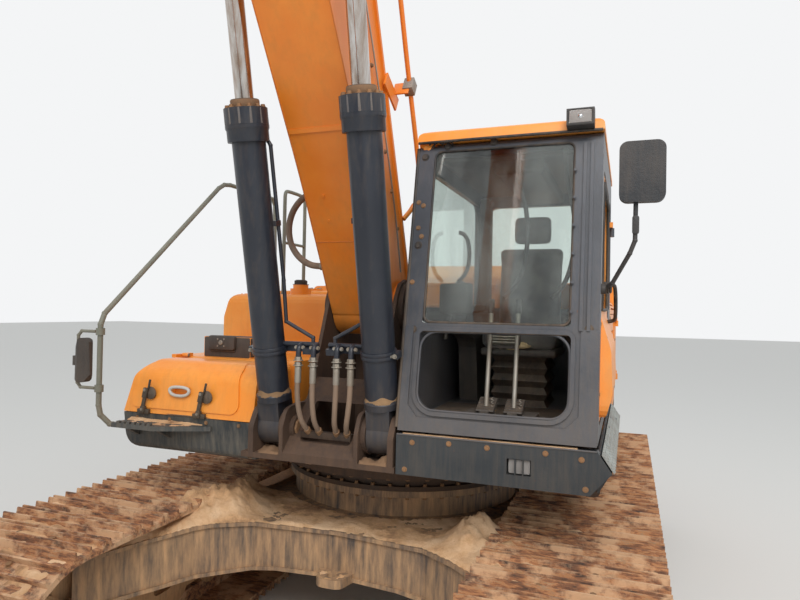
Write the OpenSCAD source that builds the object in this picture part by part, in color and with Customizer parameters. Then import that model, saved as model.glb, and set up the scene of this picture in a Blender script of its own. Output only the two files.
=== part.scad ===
// Crawler excavator, built as the separate pieces of the real machine
// Millimetres. Front faces -Y, the operator's left is +X, Z is up

/* [Undercarriage] */
// Distance between the two track centre lines
track_gauge = 2740; // [2600:10:2900]
// Distance from idler centre to sprocket centre
tumbler_distance = 4340; // [4200:10:4500]
// Width of one track shoe
shoe_width = 900; // [600:50:900]
// Number of shoes in one track
shoe_count = 51; // [48:1:54]
// Lower rollers on each side
roller_count = 9; // [7:1:9]

/* [Upper structure] */
// Distance the swing axis stands behind the row's origin
axis_y = 1475; // [1000:5:1800]
// Half width of the upper structure
upper_half = 1490; // [1400:10:1500]
// Tail swing radius
tail_radius = 3400; // [3200:10:3500]
// Underside of the counterweight above the ground
counterweight_z = 1290; // [1200:10:1350]

/* [Cab] */
// Inner wall of the cab, beside the boom
cab_inner = 470; // [465:5:520]
// Top of the cab shell under the roof cap
cab_top = 3140; // [3100:10:3160]

/* [Boom and arm] */
// Boom length from foot pin to arm pin
boom_length = 6450; // [6300:10:6500]
// Half width of the boom box
boom_half = 215; // [200:5:216]
// Arm length from arm pin to bucket pin
arm_length = 3200; // [3000:10:3200]
// Direction of the boom's first section above level
boom_angle = 61.8; // [60:0.1:64]
// Direction of the arm below level
arm_angle = -90; // [-93:1:-88]
// Direction of the bucket's rear pin, from the arm's axis
bucket_angle = 60; // [40:1:80]
// Width of the bucket
bucket_width = 1500; // [1200:10:1500]

/* [Hidden] */

// Colours
orange = [0.86,0.40,0.14];
charcoal = [0.20,0.21,0.20];
steel = [0.62,0.62,0.62];
rust = [0.45,0.25,0.16];
mud = [0.62,0.50,0.36];
dark = [0.13,0.13,0.13];
glass = [0.55,0.60,0.60,0.4];

// Gap left between two pieces that are bolted together
seat_gap = 0.5;

// Side-view helpers: x is forward, y is up, pieces run from x0 to x1 across the machine
module side(x0,x1) translate([x1,0,0]) rotate([90,0,-90]) linear_extrude(x1-x0) children();
// Front-view helper: x is across, y is up, pieces run from f0 to f1 forward
module facing(f0,f1) translate([0,-f0,0]) rotate([90,0,0]) linear_extrude(f1-f0) children();
module pin(x0,x1,r,f,z) translate([x0,-f,z]) rotate([0,90,0]) cylinder(r=r,h=x1-x0,$fn=48);
module pin_z(x,f,r,z0,z1) translate([x,-f,z0]) cylinder(r=r,h=z1-z0,$fn=48);
module along(x,f,z,a) translate([x,-f,z]) rotate([90-a,0,0]) children();
module block(x0,x1,f0,f1,z0,z1) translate([x0,-f1,z0]) cube([x1-x0,f1-f0,z1-z0]);
module both() { children(); mirror([1,0,0]) children(); }
module both_at(cx) translate([cx,0,0]) both() children();
module place() translate([0,axis_y,0]) children();
module tube(p,q,r) let(v=q-p,l=norm(v)) translate(p)
  rotate([0,acos(v[2]/l),atan2(v[1],v[0])]) cylinder(r=r,h=l,$fn=20);
module rail(path,r) {
  for (i=[0:len(path)-2]) tube(path[i],path[i+1],r);
  for (i=[1:len(path)-2]) translate(path[i]) sphere(r=r+1.5,$fn=20);
}
function polar(r,a) = [r*cos(a),r*sin(a)];
function turn(p,a) = [p[0]*cos(a)-p[1]*sin(a),p[0]*sin(a)+p[1]*cos(a)];
function unit(v) = v/norm(v);
function box(x0,x1,y0,y1) = [[x0,y0],[x1,y0],[x1,y1],[x0,y1]];
// Rounds one corner, seen between its two neighbours
function corner(a,b,c,r,n) = let(u=unit(a-b),v=unit(c-b),h=acos(u*v)/2,o=b+unit(u+v)*r/sin(h),
  p=b+u*r/tan(h)-o,q=b+v*r/tan(h)-o,a0=atan2(p[1],p[0]),da=((atan2(q[1],q[0])-a0+540)%360)-180)
  [for (i=[0:n]) o+polar(r,a0+da*i/n)];
// Rounds a whole outline, with one radius or a list of them
function soft(p,r,n=4) = [for (i=[0:len(p)-1]) let(k=is_list(r) ? r[i] : r,l=len(p))
  each k > 0 ? corner(p[(i+l-1)%l],p[i],p[(i+1)%l],k,n) : [p[i]]];
// Moves every edge of an outline outwards by d, or inwards where d is negative
function edge_out(a,b) = let(u=unit(b-a)) [u[1],-u[0]];
function grow(p,d) = [for (i=[0:len(p)-1]) let(l=len(p),n=edge_out(p[(i+l-1)%l],p[i]),
  m=edge_out(p[i],p[(i+1)%l])) p[i]+d*(n+m)/(1+n*m)];
module rim(p,d) difference() {
  polygon(p);
  polygon(grow(p,-d));
}

// Track geometry
pitch_r = 371.8;
loop_z = 472;
half_t = tumbler_distance/2;
loop_len = 2*tumbler_distance + 2*PI*pitch_r;
pitch = loop_len/shoe_count;
track_x = track_gauge/2;
rail_r = pitch_r - 71;
loop_n = 14;
idler_r = rail_r*cos(90/loop_n) - 0.6;
frame_in = 140;
frame_out = 165;
leg_end = track_x - frame_out - 0.5;

// Track loop
function loop_at(s) =
  s < 2*half_t ? [-half_t+s,loop_z-pitch_r,0] :
  s < 2*half_t+PI*pitch_r ? let(a=-90+(s-2*half_t)/pitch_r*180/PI)
    [half_t+pitch_r*cos(a),loop_z+pitch_r*sin(a),a+90] :
  s < 4*half_t+PI*pitch_r ? [half_t-(s-2*half_t-PI*pitch_r),loop_z+pitch_r,180] :
  let(a=90+(s-4*half_t-PI*pitch_r)/pitch_r*180/PI)
    [-half_t+pitch_r*cos(a),loop_z+pitch_r*sin(a),a+90];
// Triple grouser shoe: along the track, then outwards from the pitch line
shoe_half = pitch/2 - 4;
shoe = [[-shoe_half,50],[-shoe_half+7,100],[-shoe_half+18,100],[-shoe_half+24,64],[-10,64],
  [-5,98],[5,98],[10,64],[shoe_half-26,64],[shoe_half-20,98],[shoe_half-10,98],[shoe_half,50]];
function shoe_pt(i,p) = let(c=loop_at((i+0.5)*pitch))
  [c[0]+p[0]*cos(c[2])+p[1]*sin(c[2]),c[1]+p[0]*sin(c[2])-p[1]*cos(c[2])];
shoe_line = [for (i=[0:shoe_count-1]) for (p=shoe) shoe_pt(i,p)];
function stadium(r,n) = concat(
  [for (i=[0:n]) [half_t+r*cos(-90+180*i/n),loop_z+r*sin(-90+180*i/n)]],
  [for (i=[0:n]) [-half_t+r*cos(90+180*i/n),loop_z+r*sin(90+180*i/n)]]);
module ring_of(a,b) polygon(concat(a,b),
  [[for (i=[0:len(a)-1]) i],[for (i=[0:len(b)-1]) len(a)+i]]);
module track(cx) {
  side(cx-shoe_width/2,cx+shoe_width/2) ring_of(shoe_line,stadium(pitch_r+38,loop_n));
  for (d=[-96,52]) side(cx+d,cx+d+44) ring_of(stadium(pitch_r+44,loop_n),stadium(rail_r,loop_n));
}
module track_left() color(rust) place() track(track_x);
module track_right() color(rust) place() track(-track_x);

// Lower frame: pedestal, arched cross frame, legs and tow eye
leg_plan = [[leg_end,2020],[1040,1720],[860,1440],[560,1260],[0,1200]];
function mirrored(p) = concat(p,[for (i=[len(p)-2:-1:0]) [-p[i][0],p[i][1]]]);
front_edge = mirrored(leg_plan);
rear_edge = [for (p=front_edge) [-p[0],-p[1]]];
cross_line = concat(
  [for (p=front_edge) [p[0],-p[1]]],[[-leg_end,-900],[-980,-640],[-900,-400],[-900,400],[-980,640],
    [-leg_end,900]],
  [for (p=rear_edge) [p[0],-p[1]]],[[leg_end,900],[980,640],[900,400],[900,-400],[980,-640],
    [leg_end,-900]]);
// Seen from the front, the legs slope down to the track frames and the belly is arched
leg_top = [[leg_end+1,766],[1000,800],[760,835]];
leg_belly = [[leg_end+1,480],[980,492],[700,525],[400,556]];
function left_right(p) = concat(p,[for (i=[len(p)-1:-1:0]) [-p[i][0],p[i][1]]]);
cross_front = concat(left_right(leg_belly),[for (p=leg_top) [-p[0],p[1]]],
  [for (i=[len(leg_top)-1:-1:0]) leg_top[i]]);
// Edges of the top and bottom plates, which stand proud of the webs
plate_t = 22;
plate_lip = 18;
module plate_band(p,d) polygon(concat(left_right(p),[for (q=p) [-q[0],q[1]+d]],
  [for (i=[len(p)-1:-1:0]) [p[i][0],p[i][1]+d]]));
module plate_edges() intersection() {
  translate([0,0,400]) linear_extrude(600) polygon(grow(cross_line,-plate_lip));
  facing(-2100,2100) intersection() {
    union() {
      plate_band(leg_top,-plate_t);
      plate_band(leg_belly,plate_t);
    }
    polygon(box(-leg_end,leg_end,400,1000));
  }
}
pedestal_r = 845;
ring_seat_z = 1005;
ring_out = 885;
tow_f = 1275;
tow_z = 600;
tow_t = 50;
module lower_frame() color(charcoal) place() {
  difference() {
    union() {
      intersection() {
        translate([0,0,400]) linear_extrude(600) polygon(cross_line);
        facing(-2100,2100) polygon(cross_front);
      }
      translate([0,0,560]) cylinder(r=pedestal_r,h=ring_seat_z-560,$fn=64);
      translate([0,0,ring_seat_z-40]) cylinder(r=ring_out,h=40,$fn=96);
      plate_edges();
      translate([0,0,tow_z-tow_t]) linear_extrude(tow_t) polygon(soft([[-115,-1190],[115,-1190],
        [80,-tow_f-70],[-80,-tow_f-70]],[0,0,60,60]));
    }
    translate([0,0,399]) cylinder(r=480,h=700,$fn=64);
    pin_z(0,tow_f,32,tow_z-tow_t-1,tow_z+1);
  }
}

// Track frames: box beam, roller guards, carrier stands and final drive seat
beam = [[-1740,440],[1640,440],[1700,470],[1700,560],[1560,596],[-1560,596],[-1740,560]];
guard_in = [[-1690,285],[-1660,250],[1660,250],[1700,285],[1760,380],[2260,390],[2310,430],[2310,520],
  [2260,556],[1700,560],[1690,500],[-1700,500],[-1740,560],[-2170,610],[-2240,560],[-2240,390],
  [-2170,340],[-1760,340]];
guard_out = [[-1690,285],[-1660,250],[1660,250],[1700,285],[1760,380],[2260,390],[2310,430],[2310,520],
  [2260,556],[1700,560],[1690,500],[-1700,500],[-1780,520],[-1780,340]];
window_f = [-1300,-650,0,650,1300];
module track_frame(cx,s) {
  intersection() {
    side(cx-frame_out,cx+frame_out) polygon(beam);
    facing(-1800,1800) polygon([[cx-frame_out,430],[cx+frame_out,430],[cx+frame_out,560],[cx+110,597],
      [cx-110,597],[cx-frame_out,560]]);
  }
  difference() {
    translate([cx,0,0]) {
      mirror([s > 0 ? 1 : 0,0,0]) side(frame_in,frame_out) polygon(guard_in);
      mirror([s > 0 ? 0 : 1,0,0]) side(frame_in,frame_out) polygon(guard_out);
    }
    for (f=window_f) side(cx-frame_out-1,cx+frame_out+1)
      polygon(soft(box(f-90,f+90,300,392),40));
  }
  for (f=[-carrier_f,carrier_f]) {
    side(cx-135,cx+135) polygon(box(f-60,f+60,590,605));
    both_at(cx) side(115,135) polygon([[f-60,600],[f+60,600],[f+45,720],[f-45,720]]);
  }
}
carrier_f = 780;
module track_frames() color(charcoal) place() for (s=[-1,1]) track_frame(s*track_x,s);

// Idlers, sprockets and rollers
module idler(cx) {
  pin(cx-100,cx+100,idler_r,half_t,loop_z);
  pin(cx-42,cx+42,rail_r+45,half_t,loop_z);
  pin(cx-118,cx+118,150,half_t,loop_z);
  pin(cx-frame_in+0.5,cx+frame_in-0.5,70,half_t,loop_z);
}
module idlers() color(charcoal) place() for (s=[-1,1]) idler(s*track_x);
teeth = 21;
module sprocket(cx,s) {
  side(cx-40,cx+40) polygon([for (i=[0:teeth-1]) for (k=[[-6,318],[-3,372],[3,372],[6,318]])
    [-half_t,loop_z]+polar(k[1],i*360/teeth+k[0])]);
  pin(cx-frame_in+0.5,cx+frame_in-0.5,225,-half_t,loop_z);
  pin(s > 0 ? cx : cx-frame_out-35,s > 0 ? cx+frame_out+35 : cx,185,-half_t,loop_z);
  pin(s > 0 ? cx : cx-frame_out-60,s > 0 ? cx+frame_out+60 : cx,70,-half_t,loop_z);
}
module sprockets() color(charcoal) place() for (s=[-1,1]) sprocket(s*track_x,s);
roller_z = loop_z-rail_r+110.8;
module roller(cx,f) {
  pin(cx-112,cx+112,110,f,roller_z);
  for (d=[-128,112]) pin(cx+d-0.01,cx+d+16.01,128,f,roller_z);
  pin(cx-frame_in+0.5,cx+frame_in-0.5,45,f,roller_z);
}
module track_rollers() color(charcoal) place()
  for (s=[-1,1]) for (i=[0:roller_count-1]) roller(s*track_x,-1520+3040*i/(roller_count-1));
module carrier_rollers() color(charcoal) place() for (s=[-1,1]) for (f=[-carrier_f,carrier_f]) {
  pin(s*track_x-108,s*track_x+108,80,f,loop_z+rail_r-80.8);
  pin(s*track_x-114.5,s*track_x+114.5,35,f,loop_z+rail_r-80.8);
}

// Slewing ring
module annulus(r0,r1,z0,z1) translate([0,0,z0]) difference() {
  cylinder(r=r1,h=z1-z0,$fn=96);
  translate([0,0,-1]) cylinder(r=r0,h=z1-z0+2,$fn=96);
}
drum_z = 1110;
module slew_ring_lower() color(steel) place() {
  annulus(720,ring_out,ring_seat_z+seat_gap,ring_seat_z+30);
  annulus(720,ring_out-35,ring_seat_z+29,ring_seat_z+54.5);
}
module slew_ring_upper() color(steel) place() {
  annulus(720,ring_out-35,ring_seat_z+55,ring_seat_z+70);
  annulus(720,ring_out+20,ring_seat_z+69,drum_z-seat_gap);
}

// Deck: main frame plates, side decks and cylinder lugs
foot_f = 730;
foot_z = 2180;
lug_f = 1355;
lug_z = 1468;
cyl_x = 345;
ear_in = 222;
ear_out = 246;
deck_z = 1240;
deck_t = 30;
deck_back = 2449.6;
deck_front = 1500;
box_in = -500;
tank_step_f = 915;
step_up_f = 1030;
nose_z = 1300;
ear_line = [[deck_front,nose_z+5],[deck_front,1490],[1450,1590],[1330,1606],[1180,1600],[930,2240],
  [860,2340],[730,2378],[600,2336],[530,2220],[420,2000],[-300,1600],[-1000,1450],[-deck_back,1450],
  [-deck_back,deck_z+5],[step_up_f-5,deck_z+5],[step_up_f-5,nose_z+5]];
ear_round = [0,40,60,40,60,200,60,80,60,60,120,200,200,0,0,0,0];
outer_ear = [[deck_front,nose_z+5],[deck_front,1480],[1440,1580],[1340,1600],[1240,1570],[1120,1360],
  [1100,nose_z+5]];
sill_z = 1345;
module deck() color(charcoal) place() difference() {
  union() {
    block(-upper_half,upper_half,-deck_back,755,deck_z,deck_z+deck_t);
    block(-upper_half,box_in+1,754,tank_step_f,deck_z,deck_z+deck_t);
    block(box_in+0.5,upper_half,754,step_up_f,deck_z,deck_z+deck_t);
    block(box_in+0.5,upper_half,step_up_f-25,step_up_f,deck_z,nose_z+deck_t);
    block(box_in+0.5,460,step_up_f-1,deck_front,nose_z,nose_z+deck_t);
    block(459,upper_half,step_up_f-1,deck_front-60,nose_z,nose_z+deck_t);
    annulus(700,1000,drum_z,deck_z+1);
    side_beam(-deck_back,tank_step_f);
    mirror([1,0,0]) side_beam(-deck_back,step_up_f);
    for (x=[560,1410]) {
      pin_z(x,-210,42,deck_z+29,1529.6);
      pin_z(x,1340,42,nose_z+29,1529.6);
    }
    both() side(ear_in,ear_out) polygon(soft(ear_line,ear_round));
    both() pin(ear_out-1,275,175,foot_f,foot_z);
    both() pin(ear_out-1,273,112,lug_f,lug_z);
    both() side(418,452) polygon(soft(outer_ear,[0,60,60,40,60,40,0]));
    both() pin(451,462,85,lug_f,lug_z);
    both() pin(205,462,55,lug_f,lug_z);
    both() pin(196,ear_in+1,72,lug_f,lug_z);
    side(-ear_in-1,ear_in+1) polygon([[deck_front,nose_z+5],[deck_front,sill_z],[1470,sill_z+30],
      [1090,1740],[1060,1715],[1440,sill_z+20],[1440,nose_z+5]]);
    side(-ear_in-1,ear_in+1) polygon(box(470,500,deck_z+5,1900));
    side(-ear_in-1,ear_in+1) polygon(box(-1480,-1455,deck_z+5,1430));
  }
  both() pin(200,280,70.5,foot_f,foot_z);
  facing(1000,1600) polygon(soft([[-150,1405],[170,1405],[170,1610],[-150,1610]],[20,20,12,12]));
}
// Rounded edge beam that runs along each side under the panels
module side_beam(f0,f1) facing(f0,f1) polygon(soft([[-upper_half,deck_z-75],[-upper_half+75,deck_z-75],
  [-upper_half+75,deck_z+1],[-upper_half,deck_z+1]],[35,0,0,0]));

// Counterweight: curved tail with tapered belly and rounded top edge
tail_in = 2450;
module counterweight() color(orange) place() difference() {
  intersection() {
    translate([0,0,counterweight_z]) rotate_extrude($fn=120) polygon([[0,0],[tail_radius-170,0],
      [tail_radius-40,110],[tail_radius,320],[tail_radius,980],[tail_radius-25,1110],
      [tail_radius-90,1185],[tail_radius-190,1210],[0,1210]]);
    facing(-3500,-tail_in) polygon(soft([[-upper_half,counterweight_z],[upper_half,counterweight_z],
      [upper_half,counterweight_z+1211],[-upper_half,counterweight_z+1211]],[60,60,90,90]));
  }
  for (x=[-700,700]) pin_z(x,-2800,35,counterweight_z+1110,counterweight_z+1215);
  for (x=[-700,700]) block(x-130,x+130,-2930,-2670,counterweight_z+1200,counterweight_z+1215);
  facing(-3500,-tail_radius+150) polygon(soft(box(-330,330,counterweight_z+330,counterweight_z+720),60));
}

// Cab: pressed pillars, sloped front with a fixed upper glass and an open lower part
cab_wall = 45;
cab_out = upper_half;
cab_foot = 1530;
cab_nose = 1480;
cab_back = -350;
cab_slope = 300;
cab_side = [[cab_nose,cab_foot],[cab_nose-cab_slope,cab_top],[cab_back,cab_top],[cab_back,cab_foot]];
cab_round = [30,60,90,40];
cab_hollow = [[cab_nose-50,cab_foot+50],[1145,cab_top-45],[cab_back+45,cab_top-45],
  [cab_back+45,cab_foot+50]];
door_line = [[1330,1600],[1078,2960],[130,2960],[130,1600]];
rear_quarter = [[60,2200],[60,2960],[-250,2960],[-250,2200]];
right_window = [[1200,2080],[1030,3000],[-200,3000],[-200,2080]];
function front_f(z) = cab_nose-(z-cab_foot)*cab_slope/(cab_top-cab_foot);
glass_left = cab_inner+92;
glass_right = cab_out-140;
bar_z0 = 2062;
bar_z1 = 2104;
upper_light = soft(box(glass_left,glass_right,bar_z1,cab_top-46),[14,14,45,45]);
lower_light = soft(box(glass_left-4,glass_right+4,1640,bar_z0),[105,105,25,25],6);
recess = [[glass_left-44,1668],[glass_left+10,1606],[glass_right-10,1606],[glass_right+50,1668],
  [glass_right+50,bar_z0+30],[glass_left-44,bar_z0+30]];
// A slab parallel to the sloped front, from a to b in front of it
module front_slab(a,b) side(cab_inner,cab_out) polygon([[front_f(cab_foot+2)+a,cab_foot+2],
  [front_f(cab_foot+2)+b,cab_foot+2],[front_f(cab_top-2)+b,cab_top-2],[front_f(cab_top-2)+a,cab_top-2]]);
module front_trim(a,b) intersection() {
  front_slab(a,b);
  facing(900,1600) children();
}
module v_eye(x,f,z) difference() {
  union() {
    block(x-26,x,f-14,f+14,z,z+60);
    pin_z(x,f,18,z,z+60);
  }
  pin_z(x,f,9.5,z-1,z+61);
}
module v_arm(x,f,z,face) {
  block(face-8,x+9,f+26,f+56,z+60.5,z+95);
  block(x-7,x+9,f,f+56,z+60.5,z+95);
  pin_z(x,f,9,z+0.5,z+95);
}
hinge_x = upper_half+18;
cab_hinge_f = 112;
cab_hinge_z = [1700,2700];
module cab_frame() color(charcoal) place() {
  cab_shell();
  for (z=cab_hinge_z) v_eye(hinge_x,cab_hinge_f,z);
  front_trim(-10,9) difference() {
    polygon(box(cab_inner+2,cab_out-2,cab_foot+2,bar_z0+28));
    polygon(recess);
  }
  front_trim(-10,12) rim(grow(lower_light,22),21.5);
  for (x=[cab_out-98,cab_out-62]) front_trim(-10,15) polygon(box(x,x+17,bar_z1-20,cab_top-60));
}
module cab_shell() difference() {
  side(cab_inner,cab_out) polygon(soft(cab_side,cab_round));
  side(cab_inner+cab_wall,cab_out-cab_wall) polygon(cab_hollow);
  side(cab_out-cab_wall-1,cab_out+1) polygon(soft(door_line,[60,90,90,60]));
  side(cab_out-cab_wall-1,cab_out+1) polygon(soft(rear_quarter,60));
  side(cab_inner-1,cab_inner+cab_wall+1) polygon(soft(right_window,80));
  facing(1000,1600) polygon(lower_light);
  facing(1000,1600) polygon(upper_light);
  facing(cab_back-10,cab_back+50) polygon(soft(box(cab_inner+90,cab_out-90,2200,3000),70));
}
roof_side = [[1215,cab_top+0.5],[1196,cab_top+62],[1120,cab_top+88],[-230,cab_top+88],[-352,cab_top+60],
  [-352,cab_top+0.5]];
module cab_roof() color(orange) place() difference() {
  union() {
    intersection() {
      side(cab_inner-10,cab_out+6) polygon(soft(roof_side,[0,30,60,60,30,0]));
      facing(-400,1300) polygon(soft([[cab_inner-6,cab_top],[cab_out+6,cab_top],[cab_out+6,cab_top+48],
        [cab_out-60,cab_top+89],[cab_inner+60,cab_top+89],[cab_inner-6,cab_top+48]],[0,0,30,60,60,30]));
    }
    side(cab_inner+260,cab_out-260) polygon(soft([[780,cab_top+80],[760,cab_top+112],[180,cab_top+112],
      [160,cab_top+80]],[0,14,14,0]));
  }
  block(cab_inner+300,cab_out-300,200,740,cab_top+104,cab_top+120);
}
module cab_glazing() color(glass) place() {
  intersection() {
    front_slab(-18,-12);
    facing(900,1600) polygon(grow(upper_light,-0.5));
  }
  side(cab_inner+15,cab_inner+21) polygon(grow(soft(right_window,80),-0.5));
  side(cab_out-21,cab_out-15) polygon(grow(soft(rear_quarter,60),-0.5));
  facing(cab_back+29,cab_back+35) polygon(grow(soft(box(cab_inner+90,cab_out-90,2200,3000),70),-0.5));
}

// Seat and controls
seat_x = 980;
module seat() color(dark) place() {
  for (k=[[1580.5,1690,190],[1690,1800,175],[1800,1902,190]])
    side(seat_x-k[2]+20,seat_x+k[2]-20) polygon(soft(box(250,690,k[0],k[1]),[0,18,18,18]));
  intersection() {
    side(seat_x-250,seat_x+250) polygon(soft([[190,1895],[760,1895],[790,1960],[770,2035],[330,2020],
      [200,2040]],[40,40,40,50,30,20]));
    facing(100,800) polygon(soft(box(seat_x-250,seat_x+250,1894,2060),[30,30,60,60]));
  }
  intersection() {
    side(seat_x-235,seat_x+235) polygon(soft([[170,1960],[330,1980],[215,2640],[100,2640]],[20,20,50,40]));
    facing(0,400) polygon(soft([[seat_x-235,1950],[seat_x+235,1950],[seat_x+215,2650],[seat_x-215,2650]],
      [20,20,110,110]));
  }
  intersection() {
    side(seat_x-130,seat_x+130) polygon(soft([[120,2620],[210,2620],[185,2860],[105,2860]],[0,0,35,35]));
    facing(0,400) polygon(soft(box(seat_x-130,seat_x+130,2600,2862),[0,0,60,60]));
  }
}
pedal_x = [905,1055];
module console(x0,x1) intersection() {
  side(x0,x1) polygon(soft([[120,1580.5],[560,1580.5],[620,1980],[900,2060],[900,2150],[180,2170],
    [120,2100]],[0,0,120,60,40,40,40]));
  facing(0,1000) polygon(soft(box(x0,x1,1580.5,2171),[0,0,30,30]));
}
module controls() color(dark) place() {
  for (x=[570,1270]) {
    console(x,x+120);
    pin_z(x+60,820,13,2130,2260);
    pin_z(x+60,820,30,2250,2350);
    pin_z(x+60,820,45,2120,2165);
  }
  block(760,1200,1120,1400,1580.5,1600);
  for (x=pedal_x) {
    tube([x,-1290,1600],[x,-1180,2170],11);
    tube([x,-1181,2163],[x,-1170,2240],17);
    block(x-24,x+24,1230,1340,1599,1640);
    side(x-48,x+48) polygon(soft([[1330,1640],[1200,1700],[1190,1682],[1300,1625]],6));
  }
  for (x=[seat_x-190,seat_x+110]) block(x,x+80,1150,1330,1599,1625);
}

// Front plate under the cab with lamp recess, and the sloped step along the cab's side
skirt_back = 1441;
module cab_skirt() color(charcoal) place() {
  difference() {
    facing(skirt_back,deck_front) polygon([[cab_inner,1300],[cab_out-30,1300],[cab_out+70,1415],
      [cab_out+2,1515],[cab_inner,1515]]);
    block(cab_inner+590,cab_inner+710,skirt_back+20,deck_front+1,1362,1442);
  }
  lamp_ribs();
  block(cab_inner,cab_out,skirt_back-45,skirt_back+19,nose_z+deck_t+seat_gap,1345);
  facing(-340,skirt_back+1) polygon([[cab_out+1,1306],[cab_out+8,1306],[cab_out+70,1415],
    [cab_out+12,1501],[cab_out+1,1501]]);
}
module lamp_ribs() for (x=[630,668]) block(cab_inner+x,cab_inner+x+6,skirt_back+19,deck_front+6,
  1361,1443);

// Housings and tanks
house_z = deck_z+deck_t+0.5;
panel = 40;
door_f = -2351;
door_z = [1480,2040];
house_top = 2400;
function wall_line(w,top) = soft([[0+w,house_z+w],[upper_half-w,house_z+w],[upper_half-w,top-170-w/2],
  [upper_half-120-w/2,top-w],[0+w,top-w]],[0,0,60,60,0]);
module housing(x_in,f0,f1) difference() {
  intersection() {
    block(x_in,upper_half,f0,f1,house_z,house_top);
    facing(f0-10,f1+10) polygon(wall_line(0,house_top));
  }
  intersection() {
    block(x_in+panel,upper_half-panel,f0+panel,f1-panel,house_z+panel,house_top-panel);
    facing(f0-10,f1+10) polygon(wall_line(panel,house_top));
  }
  side(upper_half-panel-2,upper_half+1) polygon(soft(box(f0+100,f1-100,house_z+100,2170),40));
  for (z=[2206:34:2274]) side(upper_half-panel-140,upper_half+1)
    polygon(soft(box(f0+300,f1-300,z,z+16),5));
}
// Side door with a pressed field, cooling slots and a handle
module side_door(f0,f1) {
  difference() {
    side(upper_half-39,upper_half-4) polygon(soft(box(f0+106,f1-106,house_z+106,2164),36));
    side(upper_half-12,upper_half) polygon(soft(box(f0+190,f1-190,house_z+180,2100),50));
    for (k=[0:8]) side(upper_half-40,upper_half) polygon(soft([[f0+340,1480+k*62],
      [f1-430,1480+k*62],[f1-400,1514+k*62],[f0+340,1514+k*62]],8));
  }
  side(upper_half-14,upper_half+14) rim(soft(box(f1-250,f1-205,1750,1900),12),9);
  for (z=door_z) v_arm(hinge_x,door_f,z,upper_half-4);
}
module left_housing() color(orange) place() {
  housing(640,-2440,cab_back-10);
  for (z=door_z) v_eye(hinge_x,door_f,z);
}
module left_door() color(orange) place() side_door(-2440,cab_back-10);
module right_housing() color(orange) place() mirror([1,0,0]) {
  housing(900,-2440,-1020);
  for (z=door_z) v_eye(hinge_x,door_f,z);
}
module right_door() color(orange) place() mirror([1,0,0]) side_door(-2440,-1020);

// Fuel tank with a lower step that carries a small case, hydraulic tank behind it
case_x = [-1260,-870];
case_f = [700,870];
lid_f = 928;
tank_step_z = 1810;
lid_z = tank_step_z+8;
lid_top = tank_step_z-5;
tank_top = 2280;
tank_in = 470;
tank_tall_f = 330;
tank_line = [[-350,house_z],[tank_step_f,house_z],[tank_step_f,tank_step_z],[tank_tall_f,tank_step_z],
  [tank_tall_f,tank_top],[-350,tank_top]];
module tank_body(line,radii,f0,f1,top) intersection() {
  side(-upper_half,-tank_in) polygon(soft(line,radii));
  facing(f0,f1) polygon(soft([[-upper_half,house_z],[-tank_in,house_z],[-tank_in,top],[-upper_half+60,top],
    [-upper_half,top-190]],[0,0,40,90,90]));
}
module fuel_tank() color(orange) place() {
  tank_body(tank_line,[0,0,30,20,70,0],-400,1000,tank_top);
  for (x=lid_hinges) x_eye(x,lid_f,lid_z,case_f[1]+10);
  pin_z(-900,120,85,tank_top-1,tank_top+50);
  pin_z(-900,120,62,tank_top+49,tank_top+82);
  block(case_x[0],case_x[1],case_f[0],case_f[1],tank_step_z-1,tank_step_z+145);
}
module x_eye(x,f,z,face) difference() {
  union() {
    block(x,x+50,min(face-2,f),max(face-2,f),z-14,z+14);
    pin(x,x+50,14,f,z);
  }
  pin(x-1,x+51,8.5,f,z);
}
module x_pin(x,f,z) pin(x-40,x+50-0.5,8,f,z);
module hydraulic_tank() color(orange) place() {
  tank_body([[-1019,house_z],[-351,house_z],[-351,2330],[-1019,2330]],[0,0,30,30],-1100,-300,2330);
  pin_z(-760,-640,120,2329,2356);
  pin_z(-760,-640,45,2355,2392);
  pin_z(-1100,-500,70,2329,2350);
}

// Engine bay: block, deck ring and hood
module engine_block() color(charcoal) place() block(-850,580,-2250,-1250,1450.5,2200);
hood_f = -1004;
hood_z = 2412;
bay_left = 639.5;
bay_right = -899.5;
bay_back = -2449.5;
bay_front = -1019.5;
hinge_pair = [-700,440];
module engine_surround() color(orange) place() {
  difference() {
    block(bay_right,bay_left,bay_back,bay_front,2210,2400);
    block(bay_right+60,bay_left-60,bay_back+70,bay_front-60,2209,2401);
  }
  for (x=hinge_pair) {
    x_eye(x,hood_f,hood_z,hood_f-8);
    block(x,x+50,-1030,hood_f+14,2380,hood_z-12);
  }
}
module hood() color(orange) place() {
  hood_shell();
  for (x=hinge_pair) {
    x_pin(x,hood_f,hood_z);
    block(x-40,x-1,-1040,hood_f+10,2406,2426);
  }
}
hood_side = [[-1025,2405],[-1025,2490],[-1190,2605],[-2270,2605],[-2436,2470],[-2436,2405]];
hood_front = [[-895,2404],[635,2404],[635,2520],[510,2606],[-770,2606],[-895,2520]];
hood_slots = [[-640,-300],[-200,140]];
module hood_shell() difference() {
  intersection() {
    side(-895,635) polygon(soft(hood_side,[0,50,90,90,50,0]));
    facing(-2500,-1000) polygon(soft(hood_front,[0,0,50,90,90,50]));
  }
  intersection() {
    side(-865,605) polygon(soft([[-1055,2403],[-1055,2478],[-1200,2575],[-2260,2575],[-2406,2456],
      [-2406,2403]],[0,40,70,70,40,0]));
    facing(-2500,-1000) polygon(soft([[-865,2402],[605,2402],[605,2508],[500,2576],[-760,2576],
      [-865,2508]],[0,0,40,70,70,40]));
  }
  for (s=hood_slots) for (f=[-2150:90:-1700]) block(s[0],s[1],f,f+40,2500,2700);
}

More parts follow.
